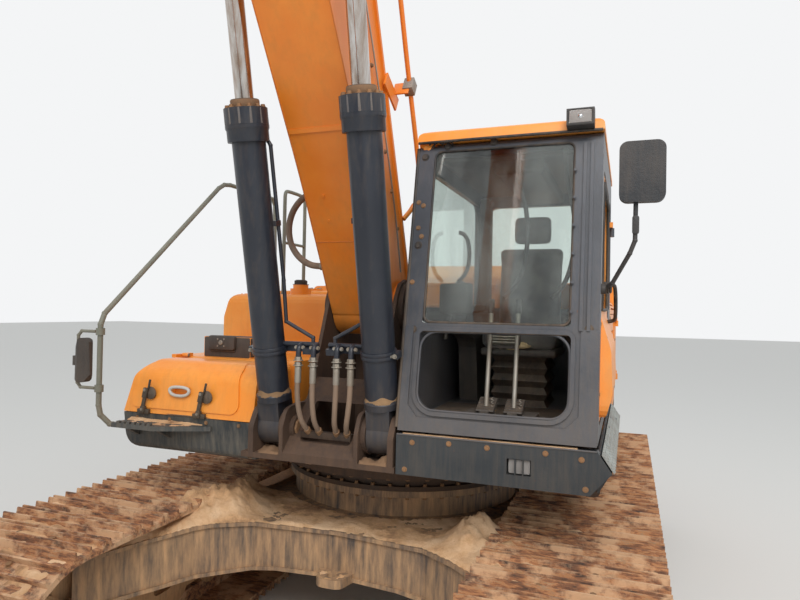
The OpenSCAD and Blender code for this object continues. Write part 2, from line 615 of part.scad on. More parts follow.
// Storage box at the front right: tub, serrated step and lid
box_f0 = tank_step_f + 21;
box_f1 = 1382;
tub_z = 1235;
lid_foot = 1475;
module storage_box() color(charcoal) place() {
  difference() {
    intersection() {
      side(-upper_half,box_in) polygon(soft([[tank_step_f+seat_gap,tub_z],[box_f1-30,tub_z],[box_f1,lid_foot-5],
        [tank_step_f+seat_gap,lid_foot-5]],[0,50,0,0]));
      facing(900,1500) polygon(soft([[-upper_half,tub_z],[box_in,tub_z],[box_in,lid_foot-5],
        [-upper_half,lid_foot-5]],[110,20,0,0],6));
    }
    block(-upper_half+60,box_in-40,box_f0+20,box_f1-75,tub_z+60,lid_foot);
  }
  intersection() {
    block(step_x0,step_x1,box_f1-25,step_f,1398,1426);
    translate([0,0,1390]) linear_extrude(50) polygon([[step_x0,-1300],[step_x1,-1300],[step_x1,-box_f1-8],
      [step_x0+330,-step_f],[step_x0,-step_f]]);
  }
  for (k=[0:step_teeth-1]) block(step_x0+40+k*40,step_x0+62+k*40,step_f-26,step_f-1,1425,1440);
  for (x=[step_x0+40,step_x0+290]) side(x,x+30)
    polygon([[box_f1-25,1320],[step_f-40,1400],[box_f1-25,1400]]);
}
step_x0 = -upper_half+50;
step_x1 = -800;
step_f = 1540;
step_teeth = 7;
lid_side = [[box_f0,lid_foot],[1384,lid_foot],[1342,lid_top-72],[1240,lid_top],[box_f0,lid_top]];
lid_round = [0,0,120,90,34];
lid_front = [[-upper_half,lid_foot],[box_in,lid_foot],[box_in,lid_top],[-upper_half+130,lid_top],
  [-upper_half+48,lid_top-95]];
lid_hinges = [-upper_half+90,-620];
module storage_lid() color(orange) place() {
  lid_shell();
  for (x=lid_hinges) {
    x_pin(x,lid_f,lid_z);
    block(x-40,x-1,lid_f-8,lid_f+70,lid_z-16,lid_z+8);
  }
}
module lid_form(g) intersection() {
  side(-upper_half,box_in) polygon(grow(soft(lid_side,lid_round,6),-g));
  facing(900,1500) polygon(grow(soft(lid_front,[0,0,60,120,120],6),-g));
}
module lid_shell() difference() {
  union() {
    lid_form(0);
    intersection() {
      side(-upper_half+10,box_in-10) polygon(grow(soft(lid_side,lid_round,6),9));
      facing(1100,1500) polygon(soft([[-upper_half+35,lid_foot+35],[box_in-100,lid_foot+35],
        [box_in-140,lid_top+20],[-upper_half+165,lid_top+20],[-upper_half+85,lid_top-100]],[60,60,60,90,90],6));
    }
  }
  lid_form(28);
  block(-upper_half+60,box_in-60,box_f0+40,box_f1-60,lid_foot-1,lid_foot+60);
  facing(1340,1500) polygon(soft([[-1104,1606],[-984,1606],[-969,1652],[-1119,1652]],12));
}

// Handrail that rises from the step, with the bracket of the right mirror
post_x = -upper_half-28;
post_f = 1568;
rail_r0 = 17;
bracket_x = -upper_half-210;
bracket_z = [1640,2000];
module handrails() color(dark) place() {
  rail([[step_x0-seat_gap,-1520,1412],[step_x0-32,-1520,1412],[post_x+10,-post_f+6,1474],
    [post_x,-post_f,1534],
    [post_x,-post_f,2045],[post_x,-post_f+30,2115],[post_x+53,-470,3118],
    [post_x+57,-405,3158],[post_x+60,-330,3170],[post_x+80,200,3170],[post_x+86,270,3160],
    [post_x+90,308,3110],[post_x+110,310,tank_top+seat_gap]],
    rail_r0);
  rail([[post_x,-post_f,bracket_z[1]],[bracket_x+28,-post_f,bracket_z[1]],
    [bracket_x,-post_f,bracket_z[1]-28],[bracket_x,-post_f,bracket_z[0]+28],
    [bracket_x+28,-post_f,bracket_z[0]],[post_x,-post_f,bracket_z[0]]],10);
  for (z=bracket_z) pin_z(post_x,post_f,27,z-22,z+22);
}

// Mirrors: the left one on a bent arm from the cab pillar, the right one on the rail's bracket
mirror_arm_f = 1250;
module mirrors() color(dark) place() {
  pin(cab_out+seat_gap,cab_out+22,26,mirror_arm_f,2300);
  rail([[cab_out+15,-mirror_arm_f,2300],[cab_out+55,-mirror_arm_f-40,2330],[cab_out+135,-1385,2470],
    [cab_out+158,-1400,2530],[cab_out+160,-1405,2760]],11);
  difference() {
    facing(1385,1440) polygon(soft(box(cab_out+82,cab_out+292,2712,3006),40,6));
    facing(1384,1392) polygon(soft(box(cab_out+98,cab_out+276,2728,2990),30,6));
  }
  difference() {
    union() {
      pin_z(bracket_x,post_f,31,1780,1840);
      intersection() {
        facing(post_f-60,post_f+60) polygon(soft([[bracket_x+16,1690],[bracket_x+60,1668],
          [bracket_x+86,1720],[bracket_x+80,1930],[bracket_x+50,1968],[bracket_x+20,1900]],12));
        translate([0,0,1600]) linear_extrude(400) polygon([[bracket_x+8,-post_f-34],
          [bracket_x+40,-post_f-48],[bracket_x+96,-post_f+30],[bracket_x+70,-post_f+46]]);
      }
    }
    pin_z(bracket_x,post_f,10.5,1600,2000);
  }
}

// Exhaust, lamps, tool case and the four hoses to the boom cylinders
module exhaust() color(dark) place() difference() {
  union() {
    pin_z(-1080,-1300,95,house_top+seat_gap,house_top+14);
    pin_z(-1080,-1300,62,house_top+13,2700);
    rail([[-1080,1300,2660],[-1080,1300,2760],[-1080,1330,2810],[-1080,1420,2840]],62);
  }
  tube([-1080,1380,2826.7],[-1080,1440,2846.7],52);
}
module work_lamps() color(dark) place() {
  difference() {
    side(cab_out-184,cab_out-44) polygon(soft([[1213.9,cab_top+6],[1285,cab_top+10],
      [1290,cab_top+100],[1215,cab_top+108],[1197.2,cab_top+60]],[0,8,10,14,0]));
    facing(1278,1300) polygon(soft(box(cab_out-172,cab_out-56,cab_top+22,cab_top+92),16));
  }
}
hose_x = [-135,-40,106,192];
hose_top_z = 1836;
module front_hoses() color(dark) place() {
  for (x=hose_x) rail([[x,-1492,hose_top_z-20],[x,-1496,1700],[x*0.94,-1490,1600],[x*0.84,-1466,1520],
    [x*0.72,-1400,1446]],15);
  block(-149.6,169.6,1380,1425,1425,1465);
}

// Cab door with a bulged lower panel
door_bulge = soft([[cab_out-20,1640],[cab_out+30,1640],[cab_out+62,1760],[cab_out+52,1980],
  [cab_out-6,2170],[cab_out-20,2170]],[0,20,120,160,0,0],6);
module cab_door() color(orange) place() {
  door_panel();
  intersection() {
    facing(100,1400) polygon(door_bulge);
    side(cab_out-30,cab_out+80) polygon(soft([[1282,1632],[1188,2180],[270,2180],[270,1632]],60));
  }
  side(cab_out-8,cab_out+32) rim(soft([[1120,2012],[1200,2010],[1196,2050],[1120,2052]],10),9);
  for (z=cab_hinge_z) v_arm(hinge_x,cab_hinge_f,z,cab_out-5);
}
door_window = soft([[1178,2190],[1050,2900],[190,2900],[190,2190]],[40,70,70,40]);
module door_panel() difference() {
  side(cab_out-40,cab_out-5) polygon(grow(soft(door_line,[60,90,90,60]),-6));
  side(cab_out-41,cab_out-4) polygon(door_window);
}
module door_glazing() color(glass) place() side(cab_out-25,cab_out-19) polygon(grow(door_window,-seat_gap));

// Boom, in its own axes: u runs from the foot pin to the lift pin, v towards the back
lift_r = 2846;
bend = 20;
module at_boom() translate([foot_f,foot_z]) rotate(boom_angle) children();
function boom_pt(u,v) = [foot_f,foot_z]+turn([u,v],boom_angle);
tip_uv = polar(boom_length,-bend);
tip = boom_pt(tip_uv[0],tip_uv[1]);
fork_r = 575;
tip_half = 183;
boom_line = soft([[0,-176],[200,-176],[1000,-205],[2090,-310],[2800,-380],[3150,-450],[3500,-600],
  tip_uv+[-161,-184],tip_uv+[89,-164],tip_uv+[179,56],tip_uv+[49,196],[4300,-560],[3800,20],[3400,330],
  [3000,480],[2600,490],[2090,400],[1000,300],[300,230],[-60,176]],
  [60,200,900,900,500,500,500,90,120,150,90,700,500,400,300,300,700,900,400,100],3);
base_u = 3750;
base_v = 1450;
module boom_body() difference() {
  union() {
    side(-boom_half+14,boom_half-14) at_boom() polygon(grow(boom_line,-1));
    side(-boom_half,boom_half) at_boom() rim(boom_line,24);
    pin(-boom_half,boom_half,176,foot_f,foot_z);
    both() pin(boom_half-20,boom_half+17,125,lift[0],lift[1]);
    both() pin(tip_half-3,boom_half+20,180,tip[0],tip[1]);
    both() side(66,100) at_chord() polygon(soft([[3480,700],[3640,1480],[base_u,1566],[3846,1480],
      [3970,700]],[0,60,70,60,0]));
    pin(-67,67,45,arm_base[0],arm_base[1]);
    for (u=[1240,2480]) side(-boom_half+8,boom_half-8) at_boom()
      polygon(box(u,u+26,u > 2000 ? -354 : -235,u > 2000 ? -330 : -215));
  }
  pin(-tip_half,tip_half,fork_r,tip[0],tip[1]);
}
module boom() color(orange) place() {
  boom_body();
  pin(-276,276,70,foot_f,foot_z);
  pin(-tip_half-1,tip_half+1,55,tip[0],tip[1]);
}
module at_chord() translate([foot_f,foot_z]) rotate(boom_angle-bend) children();
pipe_line = [[700,290],[1000,318],[2090,418],[2600,508],[3000,500],[3000,528],[2600,536],[2090,446],
  [1000,346],[700,318]];
module boom_pipes() color(dark) place() {
  for (x=[-120,-80,80,120]) side(x-14,x+14) at_boom() polygon(pipe_line);
  both() side(60,140) at_boom() polygon([[1540,350],[1620,357.4],[1620,402],[1540,394]]);
}

// Boom cylinders: foot boss, weld collar, tube, gland with bolted ring, pipe and hose bracket
lift = boom_pt(lift_r,0);
lift_v = lift-[lug_f,lug_z];
lift_a = atan2(lift_v[1],lift_v[0]);
lift_l = norm(lift_v);
foot_neck = 172;
tube_r = 92;
gland_z = 1648;
gland_end = 1873;
band_z = 452;
rod_r = 50;
// s is 1 where the machine's centre lies towards -X and -1 where it lies towards +X
module boom_barrel(x,s) difference() {
  union() {
    along(x,lug_f,lug_z,lift_a) {
      translate([0,0,foot_neck]) cylinder(r=102,h=34,$fn=64);
      translate([0,0,foot_neck+33]) cylinder(r1=102,r2=tube_r,h=16,$fn=64);
      translate([0,0,foot_neck]) cylinder(r=tube_r,h=gland_z+2-foot_neck,$fn=64);
      translate([0,0,gland_z]) cylinder(r=112,h=92,$fn=64);
      translate([0,0,gland_z+91]) cylinder(r=118,h=88,$fn=64);
      translate([0,0,gland_z+178]) cylinder(r=76,h=gland_end-gland_z-178,$fn=64);
      translate([0,0,band_z]) cylinder(r=tube_r+7,h=44,$fn=64);
      translate([s > 0 ? -cyl_x+34 : 60,28,band_z+6]) cube([cyl_x-94,12,34]);
      translate([s > 0 ? -cyl_x+34 : cyl_x-114,-26,band_z+6]) cube([80,66,34]);
      translate([s > 0 ? 88 : -122,-30,band_z+4]) cube([34,60,36]);
    }
    pin(x-69,x+69,105,lug_f,lug_z);
    side(x-69,x+69) translate([lug_f,lug_z]) rotate(lift_a) polygon([[0,-90],[foot_neck+2,-80],
      [foot_neck+2,80],[0,90]]);
    along(x,lug_f,lug_z,lift_a) pipe_run(s);
  }
  along(x,lug_f,lug_z,lift_a) translate([0,0,220]) cylinder(r=rod_r+0.5,h=1700,$fn=64);
  pin(x-70,x+70,55.5,lug_f,lug_z);
}
module pipe_run(s) {
  rail([[-s*70,54,gland_z+40],[-s*102,54,gland_z-20],[-s*105,54,band_z+420],[-s*105,40,band_z+180],
    [-s*(cyl_x-70),34,band_z+90],[-s*(cyl_x-70),18,band_z+4]],11);
  translate([-s*98,40,1200]) cube([34,52,30],center=true);
}
module boom_rod(x) {
  along(x,lug_f,lug_z,lift_a) translate([0,0,1300]) cylinder(r=rod_r,h=lift_l-1300-80,$fn=64);
  pin(x-66,x+66,95,lift[0],lift[1]);
  side(x-66,x+66) translate(lift) rotate(lift_a) polygon([[0,-80],[0,80],[-110,66],[-165,54],[-165,-54],
    [-110,-66]]);
  pin(x-109,x+109,50,lift[0],lift[1]);
  pin(x+66,x+100,70,lift[0],lift[1]);
}
module boom_barrel_left() color(charcoal) place() boom_barrel(cyl_x,1);
module boom_barrel_right() color(charcoal) place() boom_barrel(-cyl_x,-1);
module boom_rod_left() color(steel) place() boom_rod(cyl_x);
module boom_rod_right() color(steel) place() mirror([1,0,0]) boom_rod(cyl_x);

// Arm, in its own axes: s runs from the arm pin to the bucket pin, t away from the machine
module at_arm() translate(tip) rotate(arm_angle) children();
function arm_pt(s,t) = tip+turn([s,t],arm_angle);
arm_half = 178;
lever = [-950,300];
arm_line = soft([[-1090,250],[-1060,180],[-950,150],[-500,-60],[-190,-158],[0,-176],[300,-164],[640,-140],
  [arm_length-600,-130],[arm_length+10,-140],[arm_length+140,0],[arm_length+100,100],[arm_length,140],
  [arm_length-600,150],[arm_length-1000,160],[900,420],[400,480],[-300,500],[-900,460],[-1040,430]],
  [36,36,90,300,300,200,300,300,500,70,60,60,60,300,400,500,300,500,60,50],3);
module arm() color(orange) place() {
  arm_body();
  both() side(61,95) at_arm() polygon(soft([[100,440],[190,690],[280,732],[365,690],[450,430]],
    [0,60,60,60,0]));
  pin(-62,62,45,pt_e[0],pt_e[1]);
}
module arm_body() difference() {
  union() {
    side(-arm_half+12,arm_half-12) at_arm() polygon(grow(arm_line,-1));
    side(-arm_half,arm_half) at_arm() rim(arm_line,16);
    pin(-arm_half,arm_half,150,tip[0],tip[1]);
    pin(-arm_half,arm_half,125,pt_w[0],pt_w[1]);
    pin(-arm_half,arm_half,95,pt_g[0],pt_g[1]);
    pin(-arm_half,arm_half,100,arm_eye[0],arm_eye[1]);
  }
  side(-90,90) at_arm() polygon([[-1200,-250],[-1200,700],[-620,700],[-520,100],[-300,-250]]);
  pin(-arm_half-1,arm_half+1,55.5,tip[0],tip[1]);
  pin(-arm_half-1,arm_half+1,50.5,pt_w[0],pt_w[1]);
  pin(-arm_half-1,arm_half+1,45.5,pt_g[0],pt_g[1]);
}

// A cylinder in the side plane from a to b, in two pieces
eye_neck = 168;
module barrel(a,b,r,len,half,pin_r) let(v=b-a,an=atan2(v[1],v[0])) difference() {
  union() {
    along(0,a[0],a[1],an) {
      translate([0,0,eye_neck]) cylinder(r=r,h=len-eye_neck,$fn=64);
      translate([0,0,eye_neck]) cylinder(r=r+8,h=30,$fn=64);
      translate([0,0,len-200]) cylinder(r=r+14,h=110,$fn=64);
      translate([0,0,len-91]) cylinder(r=r+18,h=60,$fn=64);
      translate([0,0,len-32]) cylinder(r=r*0.8,h=32+20,$fn=64);
      for (d=[0.3,0.7]) translate([0,0,len*d]) cylinder(r=r+6,h=40,$fn=64);
      translate([-16,-r-26,len*0.3-60]) cube([32,40,60]);
      tube([0,-r-20,len*0.3-30],[0,-r-20,len-150],12);
      translate([-16,-r-34,len-190]) cube([32,50,60]);
    }
    pin(-half,half,r,a[0],a[1]);
    side(-half,half) translate(a) rotate(an) polygon([[0,-r+4],[eye_neck+2,-r+10],[eye_neck+2,r-10],[0,r-4]]);
  }
  along(0,a[0],a[1],an) translate([0,0,eye_neck+40]) cylinder(r=r*0.55+0.5,h=len,$fn=64);
  pin(-half-1,half+1,pin_r+0.5,a[0],a[1]);
}
module rod(a,b,r,start,half,pin_r,stub) let(v=b-a,an=atan2(v[1],v[0]),l=norm(v)) union() {
  along(0,a[0],a[1],an) translate([0,0,start]) cylinder(r=r*0.55,h=l-start-40,$fn=64);
  pin(-half,half,r*0.95,b[0],b[1]);
  side(-half,half) translate(b) rotate(an) polygon([[0,-r*0.85],[0,r*0.85],[-r*1.3,r*0.6],[-r*1.3,-r*0.6]]);
  pin(-stub,stub,pin_r,b[0],b[1]);
}
arm_base = [foot_f,foot_z]+turn([base_u,base_v],boom_angle-bend);
arm_eye = arm_pt(lever[0],lever[1]);
module arm_barrel() color(charcoal) place() barrel(arm_base,arm_eye,95,2000,60,45);
module arm_rod() color(steel) place() rod(arm_base,arm_eye,95,1550,60,45,80);

// Bucket linkage
rocker_g = [arm_length-480,30];
bucket_e = [280,620];
rocker_l = 700;
link_l = 660;
bucket_k = 530;
k_local = [arm_length,0]+polar(bucket_k,bucket_angle);
gk = k_local-rocker_g;
gk_d = norm(gk);
gk_a = (rocker_l*rocker_l-link_l*link_l+gk_d*gk_d)/(2*gk_d);
gk_h = sqrt(rocker_l*rocker_l-gk_a*gk_a);
j_local = rocker_g+gk*gk_a/gk_d+[-gk[1],gk[0]]*gk_h/gk_d;
pt_e = arm_pt(bucket_e[0],bucket_e[1]);
pt_g = arm_pt(rocker_g[0],rocker_g[1]);
pt_j = arm_pt(j_local[0],j_local[1]);
pt_k = arm_pt(k_local[0],k_local[1]);
pt_w = arm_pt(arm_length,0);
module bucket_barrel() color(charcoal) place() barrel(pt_e,pt_j,80,1560,55,45);
module bucket_rod() color(steel) place() rod(pt_e,pt_j,80,890,55,45,114);
rocker_v = pt_j-pt_g;
rocker_a = atan2(rocker_v[1],rocker_v[0]);
module rocker() color(orange) place() {
  both() side(184,206) translate(pt_g) rotate(rocker_a) polygon(soft([[-95,-60],[-95,60],[0,98],
    [rocker_l*0.5,66],[rocker_l,92],[rocker_l+90,50],[rocker_l+90,-50],[rocker_l,-92],[rocker_l*0.5,-66],
    [0,-98]],[50,50,60,400,60,45,45,60,400,60]));
  pin(-206,206,45,pt_g[0],pt_g[1]);
  both() pin(205,222,62,pt_g[0],pt_g[1]);
}
link_v = pt_k-pt_j;
link_a = atan2(link_v[1],link_v[0]);
module link() color(orange) place() {
  both() side(120,175) translate(pt_j) rotate(link_a) polygon(soft([[-66,-42],[-66,42],[0,66],
    [link_l*0.5,60],[link_l,80],[link_l+82,50],[link_l+82,-50],[link_l,-80],[link_l*0.5,-60],[0,-66]],
    [45,45,60,400,60,45,45,60,400,60]));
  side(-121,121) translate(pt_j) rotate(link_a) polygon(box(link_l*0.5,link_l,-60,60));
  pin(-175,175,78,pt_k[0],pt_k[1]);
  pin(-250,250,45,pt_k[0],pt_k[1]);
}

// Bucket, in its own axes: p runs from the arm pin to the teeth, q towards the back
bucket_turn = arm_angle+bucket_angle-118;
module at_bucket() translate(pt_w) rotate(bucket_turn) children();
bucket_back = soft([[190,120],[40,330],[70,640],[240,900],[540,1025],[870,975],[1150,790],[1340,500],
  [1415,200],[1425,0]],[0,120,250,300,350,350,400,500,500,0],3);
bucket_mid = [760,380];
function inset(p,c,d) = c+(p-c)*(1-d/norm(p-c));
bucket_inner = [for (i=[len(bucket_back)-1:-1:0]) inset(bucket_back[i],bucket_mid,42)];
tooth = [[1370,-26],[1480,-34],[1640,-4],[1640,4],[1500,44],[1400,66],[1370,60]];
ear_plate = soft([[-70,-120],[90,-130],[210,135],[60,335],[84,640],[0,660],[-260,575],[-350,480],
  [-330,400],[-150,60]],[80,60,0,0,0,40,60,60,60,120]);
module bucket() color(mud) place() {
  difference() {
    union() {
      side(-bucket_width/2,bucket_width/2) at_bucket() polygon(concat(bucket_back,bucket_inner));
      both() side(bucket_width/2-32,bucket_width/2) at_bucket() polygon(bucket_back);
      both() side(bucket_width/2-1,bucket_width/2+16) at_bucket()
        polygon(soft([[260,96],[420,56],[1400,-30],[1440,20],[1330,190],[620,200],[330,220]],
        [20,60,20,20,60,60,40]));
      both() side(212,248) at_bucket() polygon(ear_plate);
      for (x=[-1:1]) side(x*520-35,x*520+35) at_bucket() polygon([[262,872],[545,990],[850,945],
        [1130,770],[1172,806],[884,998],[540,1050],[226,918]]);
      for (i=[-2:2]) side(i*bucket_width*0.22-45,i*bucket_width*0.22+45) at_bucket() polygon(tooth);
    }
    both() pin(211,249,45.5,pt_k[0],pt_k[1]);
  }
  pin(-213,213,50,pt_w[0],pt_w[1]);
}

lower_frame();
track_frames();
track_left();
track_right();
idlers();
sprockets();
track_rollers();
carrier_rollers();
slew_ring_lower();
slew_ring_upper();
deck();
counterweight();
cab_frame();
cab_roof();
cab_glazing();
seat();
controls();
cab_skirt();
left_housing();
fuel_tank();
hydraulic_tank();
right_housing();
engine_block();
engine_surround();
storage_box();
storage_lid();
handrails();
mirrors();
exhaust();
work_lamps();
front_hoses();
cab_door();
door_glazing();
hood();
left_door();
right_door();
boom();
boom_pipes();
boom_barrel_left();
boom_rod_left();
boom_barrel_right();
boom_rod_right();
arm();
arm_barrel();
arm_rod();
bucket_barrel();
bucket_rod();
rocker();
link();
bucket();
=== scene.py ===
import math

import bmesh
import bpy
from mathutils import Matrix, Vector, noise
from mathutils.bvhtree import BVHTree


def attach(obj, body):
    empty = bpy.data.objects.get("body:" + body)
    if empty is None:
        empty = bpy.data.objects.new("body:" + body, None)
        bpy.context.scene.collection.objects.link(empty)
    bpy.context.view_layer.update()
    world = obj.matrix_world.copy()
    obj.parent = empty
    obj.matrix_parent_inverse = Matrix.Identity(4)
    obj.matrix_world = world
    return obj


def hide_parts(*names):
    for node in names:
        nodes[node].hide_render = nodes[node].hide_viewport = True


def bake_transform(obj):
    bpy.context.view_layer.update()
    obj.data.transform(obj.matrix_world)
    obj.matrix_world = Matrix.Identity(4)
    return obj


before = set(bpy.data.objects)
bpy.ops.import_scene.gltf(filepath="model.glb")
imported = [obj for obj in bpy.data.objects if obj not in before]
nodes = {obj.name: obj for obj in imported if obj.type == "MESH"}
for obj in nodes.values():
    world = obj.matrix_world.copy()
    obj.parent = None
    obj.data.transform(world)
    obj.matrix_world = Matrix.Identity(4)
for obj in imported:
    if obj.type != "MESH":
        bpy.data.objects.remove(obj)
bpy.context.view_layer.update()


# Camera
# Stands low and close in front of the digger, beside the lifted boom, a little to the cab's side.
# Its lens, place and turn were solved from straight edges of the cab, cylinders and tracks.
swing_axis_y = 1.475
camera_place = Vector((1.62, -4.60 + swing_axis_y, 2.175))
camera_yaw = math.radians(20.23)
camera_pitch = math.radians(0.88)
camera_roll = math.radians(1.07)
focal_pixels = 619.0
photo_width_pixels = 800.0

ahead = Vector((-math.sin(camera_yaw) * math.cos(camera_pitch), math.cos(camera_yaw) * math.cos(camera_pitch),
                math.sin(camera_pitch),))
level_right = Vector((math.cos(camera_yaw), math.sin(camera_yaw), 0.0))
level_up = level_right.cross(ahead)
right = level_right * math.cos(camera_roll) + level_up * math.sin(camera_roll)
up = level_up * math.cos(camera_roll) - level_right * math.sin(camera_roll)


def placed(name, data):
    """An object that shows this camera, lamp, mesh or curve in the scene."""
    made = bpy.data.objects.new(name, data)
    bpy.context.scene.collection.objects.link(made)
    return made


camera_data = bpy.data.cameras.new("camera")
camera_data.sensor_width = 36.0
camera_data.lens = focal_pixels / photo_width_pixels * camera_data.sensor_width
camera_data.clip_start = 0.05
camera = placed("camera", camera_data)
camera.matrix_world = Matrix.Translation(camera_place) @ Matrix(((right.x, up.x, -ahead.x, 0.0),
                                                                 (right.y, up.y, -ahead.y, 0.0),
                                                                 (right.z, up.z, -ahead.z, 0.0),
                                                                 (0.0, 0.0, 0.0, 1.0),))
bpy.context.scene.camera = camera


# Floor, sky and lamp
# A pale studio floor under an even overcast light, with one large soft lamp from above the front.
# The sky is white to the camera, in gloss and through glass.
def paint(code):
    """Turns an sRGB hex colour into the linear values that Blender works in."""
    values = [int(code[i:i + 2], 16) / 255.0 for i in (1, 3, 5)]
    linear = [v / 12.92 if v <= 0.04045 else ((v + 0.055) / 1.055) ** 2.4 for v in values]
    return (*linear, 1.0)


def put(tree, kind, settings=None, links=None, into=None):
    """Adds one node, sets its properties, sockets and colour stops, and links it."""
    made = tree.nodes.new(kind)
    for name, value in (settings or {}).items():
        if name == "stops":
            ramp = made.color_ramp.elements
            for stop, (position, code) in ((ramp[0], value[0]), (ramp[-1], value[-1])):
                stop.position, stop.color = position, paint(code)
            for position, code in value[1:-1]:
                ramp.new(position).color = paint(code)
        elif isinstance(name, str) and hasattr(made, name) and name not in made.inputs:
            setattr(made, name, value)
        else:
            made.inputs[name].default_value = value
    for name, source in (links or {}).items():
        tree.links.new(source, made.inputs[name])
    if into:
        tree.links.new(made.outputs[0], into)
    return made


floor_size = 60.0
floor_mesh = bmesh.new()
bmesh.ops.create_grid(floor_mesh, x_segments=1, y_segments=1, size=floor_size)
floor_data = bpy.data.meshes.new("floor")
floor_mesh.to_mesh(floor_data)
floor_mesh.free()
floor = placed("floor", floor_data)
floor.location.z = -0.001
floor_finish = bpy.data.materials.new("pale_floor")
floor_finish.use_nodes = True
floor_tree = floor_finish.node_tree
floor_tree.nodes["Principled BSDF"].inputs["Base Color"].default_value = paint("#D9D8D4")
floor_tree.nodes["Principled BSDF"].inputs["Roughness"].default_value = 0.9
floor_data.materials.append(floor_finish)

world = bpy.data.worlds.new("overcast")
bpy.context.scene.world = world
world.use_nodes = True
sky = world.node_tree
sky.nodes.clear()
sky_ray = put(sky, "ShaderNodeLightPath")
sky_light = put(sky, "ShaderNodeBackground", {"Color": paint("#EEF1F4"), "Strength": 0.85})
sky_seen = put(sky, "ShaderNodeBackground", {"Color": paint("#F4F5F6"), "Strength": 1.0})
sky_through = put(sky, "ShaderNodeMath", {"operation": "MAXIMUM"}, {0: sky_ray.outputs["Is Camera Ray"],
                                                                    1: sky_ray.outputs["Is Transmission Ray"]})
sky_any = put(sky, "ShaderNodeMath", {"operation": "MAXIMUM"}, {0: sky_through.outputs[0],
                                                                1: sky_ray.outputs["Is Glossy Ray"]})
sky_mix = put(sky, "ShaderNodeMixShader", {}, {0: sky_any.outputs[0], 1: sky_light.outputs[0],
                                               2: sky_seen.outputs[0]})
put(sky, "ShaderNodeOutputWorld", {}, {"Surface": sky_mix.outputs[0]})

lamp_data = bpy.data.lights.new("soft_lamp", "AREA")
lamp_data.shape = "DISK"
lamp_data.size = 9.0
lamp_data.energy = 1400.0
lamp = placed("soft_lamp", lamp_data)
lamp.location = (4.5, -9.0, 11.0)
lamp.rotation_euler = (Vector((0.0, 0.0, 1.5)) - lamp.location).to_track_quat("-Z", "Y").to_euler()


# Track chains
# Two endless chains of pressed steel shoes, 900 mm wide, each with three ribs and four bolts.
# The steel is worn bare and rusty, with pale mud dried on between the ribs.
def at(across, forward, height):
    """A point across, ahead of the swing axis and up, given in mm, as a point of the frame in metres."""
    return Vector((across / 1000.0, swing_axis_y - forward / 1000.0, height / 1000.0))


def give(finish, *names):
    """Puts one finish on these CAD nodes."""
    for name in names:
        nodes[name].data.materials.clear()
        nodes[name].data.materials.append(finish)


def piece(name, mesh, finish, body, smooth=35.0):
    """Turns a finished mesh into a piece with its finish, riding on a body of the frame."""
    bmesh.ops.recalc_face_normals(mesh, faces=mesh.faces)
    data = bpy.data.meshes.new(name)
    mesh.to_mesh(data)
    mesh.free()
    data.materials.append(finish)
    data.shade_smooth()
    data.set_sharp_from_angle(angle=math.radians(smooth))
    made = placed(name, data)
    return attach(made, body)


def start_finish(name):
    """Begins a material: gives it, its node tree, its shader and the point in the piece's own coordinates."""
    made = bpy.data.materials.new(name)
    made.use_nodes = True
    tree = made.node_tree
    return made, tree, tree.nodes["Principled BSDF"], put(tree, "ShaderNodeTexCoord").outputs["Object"]


